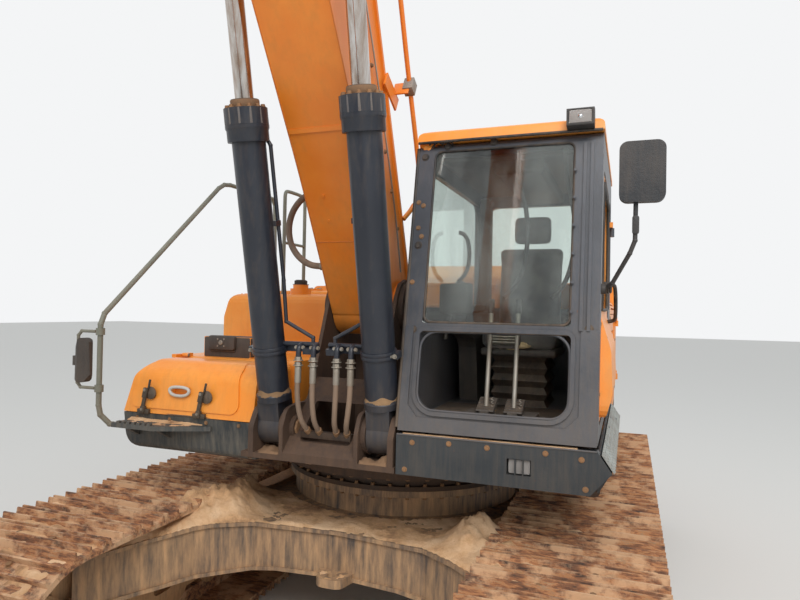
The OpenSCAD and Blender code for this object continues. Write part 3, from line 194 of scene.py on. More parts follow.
def worn_finish(name, colour, faded, dirt, low=0.2, high=2.6, most=0.75, least=0.18, rough=0.42, metal=0.0,
                chip=None, chips=0.0, run=0.55, grain=0.25, across=9.0):
    """Paint or steel, faded in patches, with dust thicker low down, run marks and rusty chips."""
    made, tree, shader, place = start_finish(name)
    shader.inputs["Metallic"].default_value = metal
    spread = put(tree, "ShaderNodeMapping", {"Scale": (across, across, 1.1)}, {"Vector": place})
    runs = put(tree, "ShaderNodeTexNoise", {"Scale": 3.0, "Detail": 6.0, "Roughness": 0.65},
               {"Vector": spread.outputs[0]})
    patches = put(tree, "ShaderNodeTexNoise", {"Scale": 1.7, "Detail": 8.0, "Roughness": 0.62},
                  {"Vector": place})
    specks = put(tree, "ShaderNodeTexNoise", {"Scale": 70.0, "Detail": 5.0, "Roughness": 0.7},
                 {"Vector": place})
    height = put(tree, "ShaderNodeSeparateXYZ", {}, {0: place})
    lowness = put(tree, "ShaderNodeMapRange", {"From Min": high, "From Max": low, "To Min": least,
                                               "To Max": most}, {"Value": height.outputs["Z"]})
    blot = put(tree, "ShaderNodeMath", {"operation": "MULTIPLY_ADD", 1: 0.75, 2: -0.375},
               {0: patches.outputs["Fac"]})
    streak = put(tree, "ShaderNodeMath", {"operation": "MULTIPLY_ADD", 1: run * 1.8, 2: -run * 0.9},
                 {0: runs.outputs["Fac"]})
    uneven = put(tree, "ShaderNodeMath", {"operation": "ADD"}, {0: blot.outputs[0], 1: streak.outputs[0]})
    dusty = put(tree, "ShaderNodeMath", {"operation": "ADD", "use_clamp": True},
                {0: uneven.outputs[0], 1: lowness.outputs[0]})
    fade = put(tree, "ShaderNodeValToRGB", {"stops": ((0.38, colour), (0.66, faded))},
               {"Fac": patches.outputs["Fac"]})
    grime = put(tree, "ShaderNodeMix", {"data_type": "RGBA", "B": paint(dirt)},
                {"Factor": dusty.outputs[0], "A": fade.outputs["Color"]})
    shown = grime.outputs["Result"]
    if chip:
        flakes = put(tree, "ShaderNodeTexNoise", {"Scale": 14.0, "Detail": 9.0, "Roughness": 0.72},
                     {"Vector": place})
        bare = put(tree, "ShaderNodeMapRange", {"From Min": 0.72 - chips, "From Max": 0.75 - chips,
                                                "To Min": 0.0, "To Max": 0.9},
                   {"Value": flakes.outputs["Fac"]})
        rusty = put(tree, "ShaderNodeMix", {"data_type": "RGBA", "B": paint(chip)},
                    {"Factor": bare.outputs[0], "A": shown})
        shown = rusty.outputs["Result"]
    tree.links.new(shown, shader.inputs["Base Color"])
    put(tree, "ShaderNodeMapRange", {"To Min": rough, "To Max": 0.95}, {"Value": dusty.outputs[0]},
        shader.inputs["Roughness"])
    put(tree, "ShaderNodeBump", {"Strength": grain, "Distance": 0.004}, {"Height": specks.outputs["Fac"]},
        shader.inputs["Normal"])
    return made


def stood(spot, way):
    """The turn and place that stand a shape at this spot with its own Z along this way."""
    return Matrix.Translation(spot) @ Vector(way).to_track_quat("Z", "Y").to_matrix().to_4x4()


def heads(name, places, facing_way, radius, tall, finish, body, sides=6):
    """Bolt heads, each a tapered prism on its washer, facing one way or each its own."""
    mesh = bmesh.new()
    for i, spot in enumerate(places):
        way = facing_way[i] if isinstance(facing_way, list) else facing_way
        seat = stood(spot, way)
        bmesh.ops.create_cone(mesh, cap_ends=True, segments=12, radius1=radius * 1.35, radius2=radius * 1.3,
                              depth=tall * 0.24, matrix=seat @ Matrix.Translation((0, 0, tall * 0.1)))
        bmesh.ops.create_cone(mesh, cap_ends=True, segments=sides, radius1=radius, radius2=radius * 0.93,
                              depth=tall, matrix=seat @ Matrix.Translation((0, 0, tall * 0.5)))
    return piece(name, mesh, finish, body)


shoe_steel, shoe_tree, shoe_shader, shoe_place = start_finish("shoe_steel")
shoe_spread = put(shoe_tree, "ShaderNodeMapping", {"Scale": (1.0, 5.0, 5.0)}, {"Vector": shoe_place})
shoe_streaks = put(shoe_tree, "ShaderNodeTexNoise", {"Scale": 9.0, "Detail": 9.0, "Roughness": 0.7},
                   {"Vector": shoe_spread.outputs[0]})
shoe_patches = put(shoe_tree, "ShaderNodeTexNoise", {"Scale": 5.5, "Detail": 10.0, "Roughness": 0.68},
                   {"Vector": shoe_place})
shoe_grit = put(shoe_tree, "ShaderNodeTexNoise", {"Scale": 120.0, "Detail": 6.0, "Roughness": 0.75},
                {"Vector": shoe_place})
shoe_rust = put(shoe_tree, "ShaderNodeValToRGB", {"stops": ((0.36, "#4E3F37"), (0.50, "#99694A"),
                                                            (0.56, "#C08A5E"), (0.64, "#A38668"),
                                                            (0.72, "#DDB892"))},
                {"Fac": shoe_streaks.outputs["Fac"]})
shoe_muddy = put(shoe_tree, "ShaderNodeMapRange", {"From Min": 0.47, "From Max": 0.58, "To Max": 0.92},
                 {"Value": shoe_patches.outputs["Fac"]})
shoe_mixed = put(shoe_tree, "ShaderNodeMix", {"data_type": "RGBA", "B": paint("#D3AC86")},
                 {"Factor": shoe_muddy.outputs[0], "A": shoe_rust.outputs["Color"]})
shoe_tree.links.new(shoe_mixed.outputs["Result"], shoe_shader.inputs["Base Color"])
put(shoe_tree, "ShaderNodeBump", {"Strength": 0.6, "Distance": 0.006}, {"Height": shoe_grit.outputs["Fac"]},
    shoe_shader.inputs["Normal"])
shoe_shader.inputs["Roughness"].default_value = 0.78
shoe_shader.inputs["Metallic"].default_value = 0.15
give(shoe_steel, "track_left", "track_right")

dried_mud, mud_tree, mud_shader, mud_place = start_finish("dried_mud")
mud_patches = put(mud_tree, "ShaderNodeTexNoise", {"Scale": 4.0, "Detail": 10.0, "Roughness": 0.66},
                  {"Vector": mud_place})
mud_clods = put(mud_tree, "ShaderNodeTexNoise", {"Scale": 38.0, "Detail": 9.0, "Roughness": 0.75},
                {"Vector": mud_place})
mud_colour = put(mud_tree, "ShaderNodeValToRGB", {"stops": ((0.34, "#9C7655"), (0.46, "#D6A97C"),
                                                            (0.62, "#EBC59C"))},
                 {"Fac": mud_patches.outputs["Fac"]})
mud_tree.links.new(mud_colour.outputs["Color"], mud_shader.inputs["Base Color"])
put(mud_tree, "ShaderNodeBump", {"Strength": 0.9, "Distance": 0.014}, {"Height": mud_clods.outputs["Fac"]},
    mud_shader.inputs["Normal"])
mud_shader.inputs["Roughness"].default_value = 0.95

track_across = 1370.0
shoe_half = 450.0
shoe_count = 51
tumbler_half = 2170.0
pitch_radius = 371.8
axle_height = 472.0
chain_length = 4.0 * tumbler_half + 2.0 * math.pi * pitch_radius
shoe_pitch = chain_length / shoe_count
bolt_finish = worn_finish("rusty_bolt", "#5B4535", "#8A5B38", "#A88561", low=0.0, high=4.0, most=0.6,
                          least=0.4, rough=0.6, metal=0.4)


def along_chain(run, outward):
    """How far ahead and how high a point lies, this far along the chain and outside its pitch line, in mm."""
    arc = math.pi * pitch_radius
    run %= chain_length
    if run < 2.0 * tumbler_half:
        return run - tumbler_half, axle_height - pitch_radius - outward
    run -= 2.0 * tumbler_half
    if run < arc:
        turn = -math.pi / 2.0 + run / pitch_radius
        reach = pitch_radius + outward
        return tumbler_half + reach * math.cos(turn), axle_height + reach * math.sin(turn)
    run -= arc
    if run < 2.0 * tumbler_half:
        return tumbler_half - run, axle_height + pitch_radius + outward
    turn = math.pi / 2.0 + (run - 2.0 * tumbler_half) / pitch_radius
    reach = pitch_radius + outward
    return -tumbler_half + reach * math.cos(turn), axle_height + reach * math.sin(turn)


for side_name, side in (("left", 1.0), ("right", -1.0)):
    spots, ways = [], []
    for shoe in range(shoe_count):
        for offset in (-0.24, 0.25):
            run = (shoe + 0.5 + offset) * shoe_pitch
            f, z = along_chain(run, 63.5)
            f_out, z_out = along_chain(run, 90.0)
            way = (at(0, f_out, z_out) - at(0, f, z)).normalized()
            for x in (-120.0, 120.0):
                spots.append(at(side * track_across + x, f, z))
                ways.append(way)
    heads("shoe_bolts_" + side_name, spots, ways, 0.017, 0.016, bolt_finish, "undercarriage")
    crust = bmesh.new()
    bmesh.ops.create_grid(crust, x_segments=34, y_segments=236, size=0.5)
    first_run = 2.0 * tumbler_half + 0.12 * math.pi * pitch_radius
    last_run = 4.0 * tumbler_half + 1.02 * math.pi * pitch_radius
    for corner in crust.verts:
        u, v = corner.co.x + 0.5, corner.co.y + 0.5
        run = first_run + (last_run - first_run) * v
        x = (u - 0.5) * 2.0 * (shoe_half - 4.0)
        f, z = along_chain(run, 60.0)
        spot = at(side * track_across + x, f, z)
        lump = noise.fractal(spot * 7.0 + Vector((3.0 * side, 0, 0)), 0.6, 2.1, 6)
        broad = noise.noise(spot * 2.3 + Vector((0, 9.0, side * 5.0)))
        phase = (run / shoe_pitch) % 1.0
        valley = 1.0 - min(1.0, min(abs(phase - 0.12), abs(phase - 0.5), abs(phase - 0.88)) / 0.07)
        rise = 60.0 + 26.0 * (lump * 0.75 + broad * 0.8 + 0.16) - 12.0 * valley
        edge = min(1.0, (0.5 - abs(u - 0.5)) / 0.05)
        f, z = along_chain(run, min(94.0, max(46.0, rise)) * edge + 46.0 * (1.0 - edge))
        corner.co = at(side * track_across + x, f, z)
    piece("mud_between_ribs_" + side_name, crust, dried_mud, "undercarriage", smooth=180.0)


# Track frames
# Welded box beams between the chain guards, with rollers, front idlers and drive wheels bolted in.
# Dark paint under a coat of dried mud, and a ring of cap screws on each drive.
muddy_plate = worn_finish("muddy_plate", "#3D3C37", "#544B3E", "#C39A70", low=0.0, high=2.0, most=0.95,
                          least=0.42, rough=0.6, run=0.9, across=14.0, grain=0.45)
give(muddy_plate, "track_frames", "idlers", "sprockets", "track_rollers", "carrier_rollers")

def around(radius, count, step, first=0.0):
    """Pairs of distances in mm for points round a circle, one every step in radians."""
    return [(radius * math.cos(first + k * step), radius * math.sin(first + k * step)) for k in range(count)]


for side_name, side in (("left", 1.0), ("right", -1.0)):
    drive_face = side * (track_across + 200.5)
    ring = [at(drive_face, a - tumbler_half, axle_height + b) for a, b in around(150.0, 18, math.pi / 9.0)
            + around(95.0, 6, math.pi / 3.0)]
    heads("drive_cover_screws_" + side_name, ring, (side, 0, 0), 0.012, 0.014, bolt_finish, "undercarriage")
    roller_screws = []
    for roller in range(9):
        f = -1520.0 + 3040.0 * roller / 8.0
        for df in (-38.0, 38.0):
            roller_screws.append(at(side * (track_across + 165.2), f + df, 268.0))
    heads("roller_screws_" + side_name, roller_screws, (side, 0, 0), 0.013, 0.014, bolt_finish,
          "undercarriage")


# Cross frame
# A welded box with a round pedestal and four legs; plates are flame-cut, dark, with drips of pale mud.
# Earth has dropped off the chains and lies in heaps on the legs, against the pedestal.
def ray_trees(*names):
    """Search trees of these CAD nodes' own surfaces, for laying earth and dust on them."""
    graph = bpy.context.evaluated_depsgraph_get()
    return [BVHTree.FromObject(nodes[name], graph) for name in names]


def laid_mud(name, x0, x1, f0, f1, step, trees, depth_at, from_height, body, finish=dried_mud):
    """A layer of earth on whatever these trees hold, seen from above; depth_at gives its depth in mm."""
    sheet = bmesh.new()
    across_count = max(2, int((x1 - x0) / step))
    along_count = max(2, int((f1 - f0) / step))
    bmesh.ops.create_grid(sheet, x_segments=across_count, y_segments=along_count, size=0.5)
    missed = []
    for corner in sheet.verts:
        x = x0 + (corner.co.x + 0.5) * (x1 - x0)
        f = f0 + (corner.co.y + 0.5) * (f1 - f0)
        start = at(x, f, from_height)
        best = None
        for tree in trees:
            spot = tree.ray_cast(start, Vector((0, 0, -1.0)))[0]
            if spot is not None and (best is None or spot.z > best.z):
                best = spot
        depth = depth_at(x, f) if best is not None else None
        if depth is None:
            missed.append(corner)
            continue
        corner.co = Vector((start.x, start.y, best.z + depth / 1000.0))
    bmesh.ops.delete(sheet, geom=missed, context="VERTS")
    steep = [face for face in sheet.faces if max(v.co.z for v in face.verts)
             - min(v.co.z for v in face.verts) > 0.16]
    bmesh.ops.delete(sheet, geom=steep, context="FACES")
    rim = {v for edge in sheet.edges if edge.is_boundary for v in edge.verts}
    loose = [v for v in sheet.verts if not v.link_faces]
    bmesh.ops.delete(sheet, geom=loose, context="VERTS")
    for corner in rim:
        if corner.is_valid:
            depth = depth_at(corner.co.x * 1000.0, (swing_axis_y - corner.co.y) * 1000.0)
            corner.co.z -= max(0.004, (depth or 0.0) / 900.0)
    return piece(name, sheet, finish, body, smooth=180.0)


cross_plate = worn_finish("cross_plate", "#33353A", "#45443F", "#C99F74", low=0.3, high=1.15, most=0.62,
                          least=0.4, rough=0.6, run=1.1, across=8.0, grain=0.45)
give(cross_plate, "lower_frame")
frame_trees = ray_trees("lower_frame", "track_frames", "slew_ring_lower")
leg_heaps = ((1010, 1220, 120, 250), (820, 1030, 140, 200), (1130, 1520, 70, 230), (960, 760, 110, 170),
             (-1010, 1260, 150, 260), (-830, 1040, 170, 210), (-1130, 1560, 60, 240), (-960, 760, 120, 180),
             (-760, 1190, 60, 150), (760, 1180, 60, 160))


def leg_depth(x, f):
    """The earth's depth on the legs in mm; none lies on the slewing ring."""
    if math.hypot(x, f) < 893.0:
        return None
    spot = Vector((x / 1000.0, f / 1000.0, 0.0))
    depth = 7.0 + 13.0 * noise.fractal(spot * 5.0, 0.7, 2.1, 5)
    for hx, hf, tall, reach in leg_heaps:
        near = math.hypot(x - hx, f - hf) / reach
        if near < 1.6:
            depth += tall * math.exp(-2.2 * near * near) * (1.0 + 0.35 * noise.fractal(spot * 9.0, 0.6, 2.2,
                                                                                       6))
    depth += 5.0 * noise.fractal(spot * 30.0, 0.7, 2.1, 4)
    return min(depth, 190.0)


laid_mud("mud_on_front_legs", -1330, 1330, 640, 2030, 17, frame_trees, leg_depth, 1100, "undercarriage")
laid_mud("mud_on_rear_legs", -1330, 1330, -2030, -640, 34, frame_trees, leg_depth, 1100, "undercarriage")


# Slewing ring
# Two forged steel rings around the ball race, each held down by a full circle of large bolts.
# Oily brown steel; the bolt rows show between the cross frame and the deck.
ring_steel = worn_finish("ring_steel", "#271E18", "#3A2D23", "#654D39", low=0.9, high=1.4, most=0.45,
                         least=0.2, rough=0.55, metal=0.2)
give(ring_steel, "slew_ring_lower", "slew_ring_upper")
for name, radius, height, way, body in (("lower_ring_bolts", 868.0, 1034.0, 1, "undercarriage"),
                                        ("flange_nuts", 866.0, 966.0, -1, "undercarriage"),
                                        ("upper_ring_bolts", 950.0, 1111.0, -1, "house")):
    circle = [at(a, b, height) for a, b in around(radius, 48, math.pi / 24.0, 0.3 * math.pi / 24.0)]
    heads(name, circle, (0, 0, way), 0.0125 if radius < 900.0 else 0.0165, 0.016, bolt_finish, body)


# Deck
# The upper frame: a thick floor plate, two tall boom plates, lugs for the lifting cylinders, side beams.
# Once dark grey, now brown with old mud at the front; pins are kept by bolted flags.
deck_plate = worn_finish("deck_plate", "#2A1E19", "#3D2D24", "#634B38", low=1.1, high=2.6, most=0.5,
                         least=0.2, rough=0.65, run=0.7, grain=0.5)
give(deck_plate, "deck")
deck_dirt = worn_finish("deck_dirt", "#5C4534", "#7A5D45", "#8F7052", low=1.1, high=2.0, most=0.5, least=0.3,
                        rough=0.95, run=0.3, grain=1.0)
deck_trees = ray_trees("deck")
deck_heaps = ((-330, 1440, 26, 90), (250, 1455, 30, 80), (400, 1420, 45, 90), (60, 1470, 16, 80),
              (-420, 1330, 34, 90), (-180, 1465, 20, 60))


def deck_depth(x, f):
    """The earth's depth on the deck's front in mm."""
    spot = Vector((x / 1000.0, f / 1000.0, 7.0))
    depth = -3.0 + 9.0 * noise.fractal(spot * 9.0, 0.6, 2.1, 5)
    for hx, hf, tall, reach in deck_heaps:
        near = math.hypot(x - hx, f - hf) / reach
        if near < 1.7:
            depth += tall * math.exp(-2.0 * near * near) * (1.0 + 0.5 * noise.fractal(spot * 22.0, 0.6, 2.2,
                                                                                      5))
    return depth


laid_mud("mud_on_deck_front", -470, 470, 1150, 1497, 9, deck_trees, deck_depth, 1350, "house", deck_dirt)

def soften(mesh, offset, segments, edges=None):
    """Rounds all edges of a mesh, or only those given; the offset is in metres."""
    bmesh.ops.bevel(mesh, geom=edges or mesh.edges[:], offset=offset, segments=segments, profile=0.5,
                    affect="EDGES", material=-1)


for name, x, way in (("left", 276.0, 1.0), ("right", -276.0, -1.0)):
    cap = bmesh.new()
    seat = Matrix.Translation(at(x, 730, 2180)) @ Matrix.Rotation(math.pi / 2.0, 4, "Y")
    bmesh.ops.create_cone(cap, cap_ends=True, segments=48, radius1=0.098, radius2=0.092, depth=0.012,
                          matrix=seat)
    piece("foot_pin_cap_" + name, cap, bolt_finish, "boom")
    spots = [at(x + way * 5.0, 730 + a, 2180 + b) for a, b in around(66, 4, math.pi / 2, 0.8)]
    heads("foot_pin_screws_" + name, spots, (way, 0, 0), 0.015, 0.012, bolt_finish, "boom")
flag = bmesh.new()
for x in (-464.0, 464.0):
    seat = Matrix.Translation(at(x, 1355, 1468)) @ Matrix.Rotation(math.pi / 2.0, 4, "Y")
    bmesh.ops.create_cone(flag, cap_ends=True, segments=6, radius1=0.062, radius2=0.058, depth=0.016,
                          matrix=seat)
soften(flag, 0.002, 2)
piece("lug_pin_nuts", flag, bolt_finish, "house")
spots = [at(s * 463.0, 1355 + a, 1468 + b) for s in (-1, 1) for a, b in around(74, 6, 1.05)]
heads("lug_cover_screws", spots, [Vector((-1, 0, 0))] * 6 + [Vector((1, 0, 0))] * 6, 0.008, 0.008,
      bolt_finish, "house")
for name, x in (("right", -205.0), ("left", 205.0)):
    boss = bmesh.new()
    seat = Matrix.Translation(at(x * 0.94, 1355, 1468)) @ Matrix.Rotation(math.pi / 2.0, 4, "Y")
    bmesh.ops.create_cone(boss, cap_ends=True, segments=8, radius1=0.058, radius2=0.058, depth=0.02,
                          matrix=seat)
    soften(boss, 0.004, 2)
    piece("lug_pin_inner_" + name, boss, bolt_finish, "house")


# Counterweight
# One heavy iron casting in a half-round shell that closes the tail, painted like the body.
# Two small lamps sit in its rear recess and plastic caps close the lifting holes.
housing_enamel = worn_finish("housing_enamel", "#E98C2F", "#EE9B45", "#B0865A", low=0.9, high=2.2, most=0.4,
                             least=0.0, rough=0.36, chip="#6B4A33", chips=0.01, run=0.4)
give(housing_enamel, "counterweight")


def add_block(mesh, size, spot, turn=None):
    """Adds a block of this size in metres to a mesh, turned about its own centre, then set at this place."""
    corners = bmesh.ops.create_cube(mesh, size=1.0)["verts"]
    bmesh.ops.scale(mesh, vec=size, verts=corners)
    if turn is not None:
        bmesh.ops.rotate(mesh, verts=corners, cent=(0, 0, 0), matrix=turn)
    bmesh.ops.translate(mesh, vec=spot, verts=corners)


def block_piece(name, size, spot, finish, body, edge=0.0, segments=4, turn=None):
    """A piece that is one block with rounded edges."""
    mesh = bmesh.new()
    add_block(mesh, size, spot, turn)
    if edge:
        soften(mesh, edge, segments)
    return piece(name, mesh, finish, body)


tail_lamps = bmesh.new()
for x in (-230.0, 230.0):
    add_block(tail_lamps, (0.15, 0.05, 0.08), at(x, -3238, 1900))
soften(tail_lamps, 0.008, 3)


def fluted_lens(name, colour, rough, flutes, waver, strength, distance):
    """Moulded clear plastic of a lamp's cover, with fine flutes that scatter the light."""
    made, tree, shader, place = start_finish(name)
    ribs = put(tree, "ShaderNodeTexWave", {"Scale": flutes, "Distortion": waver}, {"Vector": place})
    put(tree, "ShaderNodeBump", {"Strength": strength, "Distance": distance}, {"Height": ribs.outputs["Fac"]},
        shader.inputs["Normal"])
    shader.inputs["Base Color"].default_value = paint(colour)
    shader.inputs["Roughness"].default_value = rough
    shader.inputs["IOR"].default_value = 1.49
    return made


red_lens = fluted_lens("red_lens", "#8E1C14", 0.18, 60.0, 0.0, 0.4, 0.002)
piece("tail_lamps", tail_lamps, red_lens, "house")


# Cab frame
# Pressed steel pillars welded into a hollow frame, painted dark grey-blue, with a flanged front opening.
# Paint is chalky and scratched, rust has started on the sill and on the pillar beside the boom.
cab_enamel = worn_finish("cab_enamel", "#393C42", "#4A4E55", "#6F6050", low=1.5, high=2.6, most=0.26,
                         least=0.0, rough=0.4, chip="#6A4029", chips=0.055, run=0.35, across=20.0)
give(cab_enamel, "cab_frame")
cab_floor_height = 1530.0
cab_slant = 300.0 / 1610.0
cab_facing = Vector((0, -1, 0.186)).normalized()


def front_of_cab(z, proud=0.0):
    """How far ahead the cab's sloped front lies at this height, in mm."""
    return 1480.0 - (z - cab_floor_height) * cab_slant + proud


def bent_tube(name, points, radius, finish, body, closed=False, resolution=5):
    """A tube or hose bent smoothly through these points, given as places in the frame."""
    line = bpy.data.curves.new(name, "CURVE")
    line.dimensions = "3D"
    line.bevel_depth = radius
    line.bevel_resolution = 4
    line.use_fill_caps = True
    line.resolution_u = resolution
    spline = line.splines.new("NURBS")
    spline.points.add(len(points) - 1)
    for knot, spot in zip(spline.points, points):
        knot.co = (*spot, 1.0)
    spline.order_u = 3
    spline.use_endpoint_u = not closed
    spline.use_cyclic_u = closed
    line.materials.append(finish)
    made = placed(name, line)
    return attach(made, body)


def rounded(x0, x1, z0, z1, radius, steps=5):
    """Corner points of a rounded rectangle, across and up, in mm."""
    line = []
    for cx, cz, first in ((x1 - radius, z0 + radius, -90), (x1 - radius, z1 - radius, 0),
                          (x0 + radius, z1 - radius, 90), (x0 + radius, z0 + radius, 180)):
        for k in range(steps + 1):
            angle = math.radians(first + 90.0 * k / steps)
            line.append((cx + radius * math.cos(angle), cz + radius * math.sin(angle)))
    return line


def lathed(name, profile, centre, way, finish, body, steps=32):
    """A turned piece: a profile of (radius, height) points in mm, spun about a line through centre."""
    mesh = bmesh.new()
    spots = [mesh.verts.new((r / 1000.0, 0.0, h / 1000.0)) for r, h in profile]
    edges = [mesh.edges.new(pair) for pair in zip(spots, spots[1:])]
    bmesh.ops.spin(mesh, geom=spots + edges, cent=(0, 0, 0), axis=(0, 0, 1), dvec=(0, 0, 0),
                   angle=2.0 * math.pi, steps=steps, use_merge=True, use_duplicate=False)
    bmesh.ops.remove_doubles(mesh, verts=mesh.verts, dist=0.00002)
    mesh.transform(stood(centre, way))
    return piece(name, mesh, finish, body, smooth=40.0)


def slab(name, outline, f0, f1, finish, body, edge=2.0, lean=False, segments=2):
    """A plate with rounded edges: its outline across and up, between two distances ahead, in mm."""
    mesh = bmesh.new()
    ring = []
    for x, z in outline:
        f = front_of_cab(z, f0) if lean else f0
        ring.append(mesh.verts.new(at(x, f, z)))
    face = mesh.faces.new(ring)
    grown = bmesh.ops.extrude_face_region(mesh, geom=[face])["geom"]
    moved = [item for item in grown if isinstance(item, bmesh.types.BMVert)]
    bmesh.ops.translate(mesh, vec=(0.0, (f0 - f1) / 1000.0, 0.0), verts=moved)
    if edge > 0.0:
        flat = [e for e in mesh.edges if not (e.is_boundary) and e.calc_face_angle(0.0) > 0.6]
        bmesh.ops.bevel(mesh, geom=flat, offset=edge / 1000.0, segments=segments, profile=0.5, affect="EDGES",
                        material=-1)
    return piece(name, mesh, finish, body)


black_rubber = worn_finish("black_rubber", "#1B1B1C", "#2A2A2A", "#8A735C", low=0.9, high=3.0, most=0.5,
                           least=0.06, rough=0.55, run=0.5, grain=0.35)
hose_rubber = worn_finish("hose_rubber", "#55493F", "#6B5C50", "#9C8068", low=1.2, high=2.6, most=0.6,
                          least=0.2, rough=0.62, run=0.4, grain=0.35)
zinc_steel = worn_finish("zinc_steel", "#A9A79F", "#8C8579", "#8B7660", low=1.0, high=3.2, most=0.45,
                         least=0.1, rough=0.38, metal=0.7, grain=0.15)
window_left, window_right = 562.0, 1350.0
gasket = [at(x, front_of_cab(z, -8.0), z) for x, z in rounded(window_left + 4, window_right - 4, 2108, 3090,
                                                              42)]
bent_tube("windscreen_gasket", gasket, 0.0075, black_rubber, "house", closed=True)
lower_lip = [at(x, front_of_cab(z, -4.0), z) for x, z in rounded(window_left - 2, window_right + 2, 1642,
                                                                 2060, 96)]
bent_tube("lower_opening_trim", lower_lip, 0.008, cab_enamel, "house", closed=True)
spots = [at(x, front_of_cab(z, 0.5), z) for x, z in ((512, 1585), (512, 2068), (1443, 1592), (1440, 2095),
                                                     (640, 3117), (905, 3122), (508, 3060), (505, 2540))]
heads("cab_plugs", spots, cab_facing, 0.017, 0.007, black_rubber, "house", sides=16)
spots = [at(x, front_of_cab(z, 1.0), z) for x, z in ((488, 2790), (517, 2770), (497, 2640), (520, 2590),
                                                     (486, 2330))]
heads("pillar_screws", spots, cab_facing, 0.011, 0.006, bolt_finish, "house", sides=12)
bent_tube("front_pillar_seal", [at(462, front_of_cab(z, -6.0), z) for z in (1545, 1900, 2300, 2700, 3115)],
          0.011, black_rubber, "house")
bent_tube("windscreen_bar_seal", [at(x, front_of_cab(2062, 3.0), 2062) for x in (568, 800, 1100, 1344)],
          0.006, black_rubber, "house")
wires = [(0, 30, 0), (20, 60, 24), (45, 40, 40), (70, 62, 20), (95, 30, 42), (120, 48, 8)]
for k, (dx, df, dz) in enumerate(((0, 0, 0), (14, 14, 10), (-8, 22, 22))):
    bent_tube("roof_wires_%d" % k, [at(536 + dx + a, front_of_cab(3110, -16 + df * 0.4 + b * 0.35),
                                       3108 + dz + c) for a, b, c in wires], 0.0045, black_rubber, "house")
roof_lump = bmesh.new()
bmesh.ops.create_icosphere(roof_lump, subdivisions=4, radius=0.052)
for corner in roof_lump.verts:
    corner.co *= 1.0 + 0.28 * noise.fractal(corner.co * 22.0, 0.7, 2.0, 4)
bmesh.ops.scale(roof_lump, vec=(1.05, 0.7, 0.95), verts=roof_lump.verts)
bmesh.ops.translate(roof_lump, vec=at(512, front_of_cab(3140, -30), 3128), verts=roof_lump.verts)


# Cab roof
# A pressed orange skin over the cab's frame with a raised hatch; the corner by the boom is bent and chipped.
# It sits on a rubber seal above the windscreen.
give(housing_enamel, "cab_roof")
piece("bent_roof_corner", roof_lump, housing_enamel, "house", smooth=180.0)
bent_tube("roof_seal", [at(470, 1212, 3139), at(760, 1219, 3139), at(1200, 1219, 3139), at(1488, 1212, 3139)],
          0.008, black_rubber, "house")
spots = [at(x, f, 3229) for x in (520, 1440) for f in (-200, 300, 900)]
heads("roof_screws", spots, (0, 0, 1), 0.010, 0.006, zinc_steel, "house")


# Cab windows
# Flat tempered panes, 6 mm thick, faintly green, bonded into the frame; the lower windscreen is missing.
# A film of pale dust and old wiping marks hangs on the glass, and its pale veil is also a painted reflection
# of the sky.
cab_glass, glass_tree, glass_shader, glass_place = start_finish("cab_glass")
glass_spread = put(glass_tree, "ShaderNodeMapping", {"Scale": (1.0, 1.0, 0.45)}, {"Vector": glass_place})
glass_film_and_sheen = put(glass_tree, "ShaderNodeTexNoise", {"Scale": 2.2, "Detail": 7.0, "Roughness": 0.6},
                 {"Vector": glass_spread.outputs[0]})
glass_dust = put(glass_tree, "ShaderNodeTexNoise", {"Scale": 90.0, "Detail": 4.0}, {"Vector": glass_place})
# Where dust and film are thick, part of the light is scattered pale: real dust, and a painted reflection of
# the sky.
glass_dust_and_sheen = put(glass_tree, "ShaderNodeMath", {"operation": "MULTIPLY_ADD", 1: 0.18},
                 {0: glass_dust.outputs["Fac"], 2: glass_film_and_sheen.outputs["Fac"]})
put(glass_tree, "ShaderNodeMapRange", {"From Min": 0.5, "From Max": 0.85, "To Min": 1.0, "To Max": 0.85},
    {"Value": glass_dust_and_sheen.outputs[0]}, glass_shader.inputs["Transmission Weight"])
put(glass_tree, "ShaderNodeMapRange", {"From Min": 0.4, "From Max": 0.8, "To Min": 0.0, "To Max": 0.05},
    {"Value": glass_dust_and_sheen.outputs[0]}, glass_shader.inputs["Roughness"])
glass_shader.inputs["Base Color"].default_value = paint("#E6EEEA")
glass_shader.inputs["IOR"].default_value = 1.5
give(cab_glass, "cab_glazing", "door_glazing")


# Cab interior
# Moulded brown-grey trim on roof and rear pillars, bent steel rails that carry the opening windscreen.
# Trim is screwed to the frame; rails and gas strut are black.
trim_plastic = worn_finish("trim_plastic", "#2B2827", "#3E3833", "#6B5C4C", low=1.6, high=3.2, most=0.3,
                           least=0.12, rough=0.6, run=0.35, grain=0.5)
dark_plastic = worn_finish("dark_plastic", "#1E2023", "#2C2E31", "#76685A", low=1.5, high=2.6, most=0.42,
                           least=0.1, rough=0.5, run=0.3, grain=0.45)
headliner = bmesh.new()
add_block(headliner, (0.86, 1.18, 0.03), at(980, 430, 3078))
bmesh.ops.inset_region(headliner, faces=[f for f in headliner.faces if f.normal.z < -0.9], thickness=0.16,
                       depth=0.018)
soften(headliner, 0.008, 3)
piece("headliner", headliner, trim_plastic, "house")
air_duct = bmesh.new()
add_block(air_duct, (0.3, 1.12, 0.1), at(1010, 430, 3030))
low_edges = [e for e in air_duct.edges if all(v.co.z < 3.03 for v in e.verts)]
soften(air_duct, 0.035, 5, low_edges)
piece("air_duct", air_duct, trim_plastic, "house")
for side_name, x in (("right", 556.0), ("left", 1400.0)):
    block_piece("rear_pillar_trim_" + side_name, (0.085, 0.13, 1.46), at(x, -238, 2330), trim_plastic,
                "house", 0.02)
for side_name, x in (("right", 1035.0), ("left", 1290.0)):
    bent_tube("window_rail_" + side_name, [at(x, 1150, 3070), at(x + 6, 1120, 2900), at(x + 40, 1110, 2780),
                                           at(x + 60, 1116, 2600), at(x + 40, 1136, 2420),
                                           at(x - 5, 1160, 2300), at(x - 60, 1180, 2250)], 0.013,
              dark_plastic, "house")
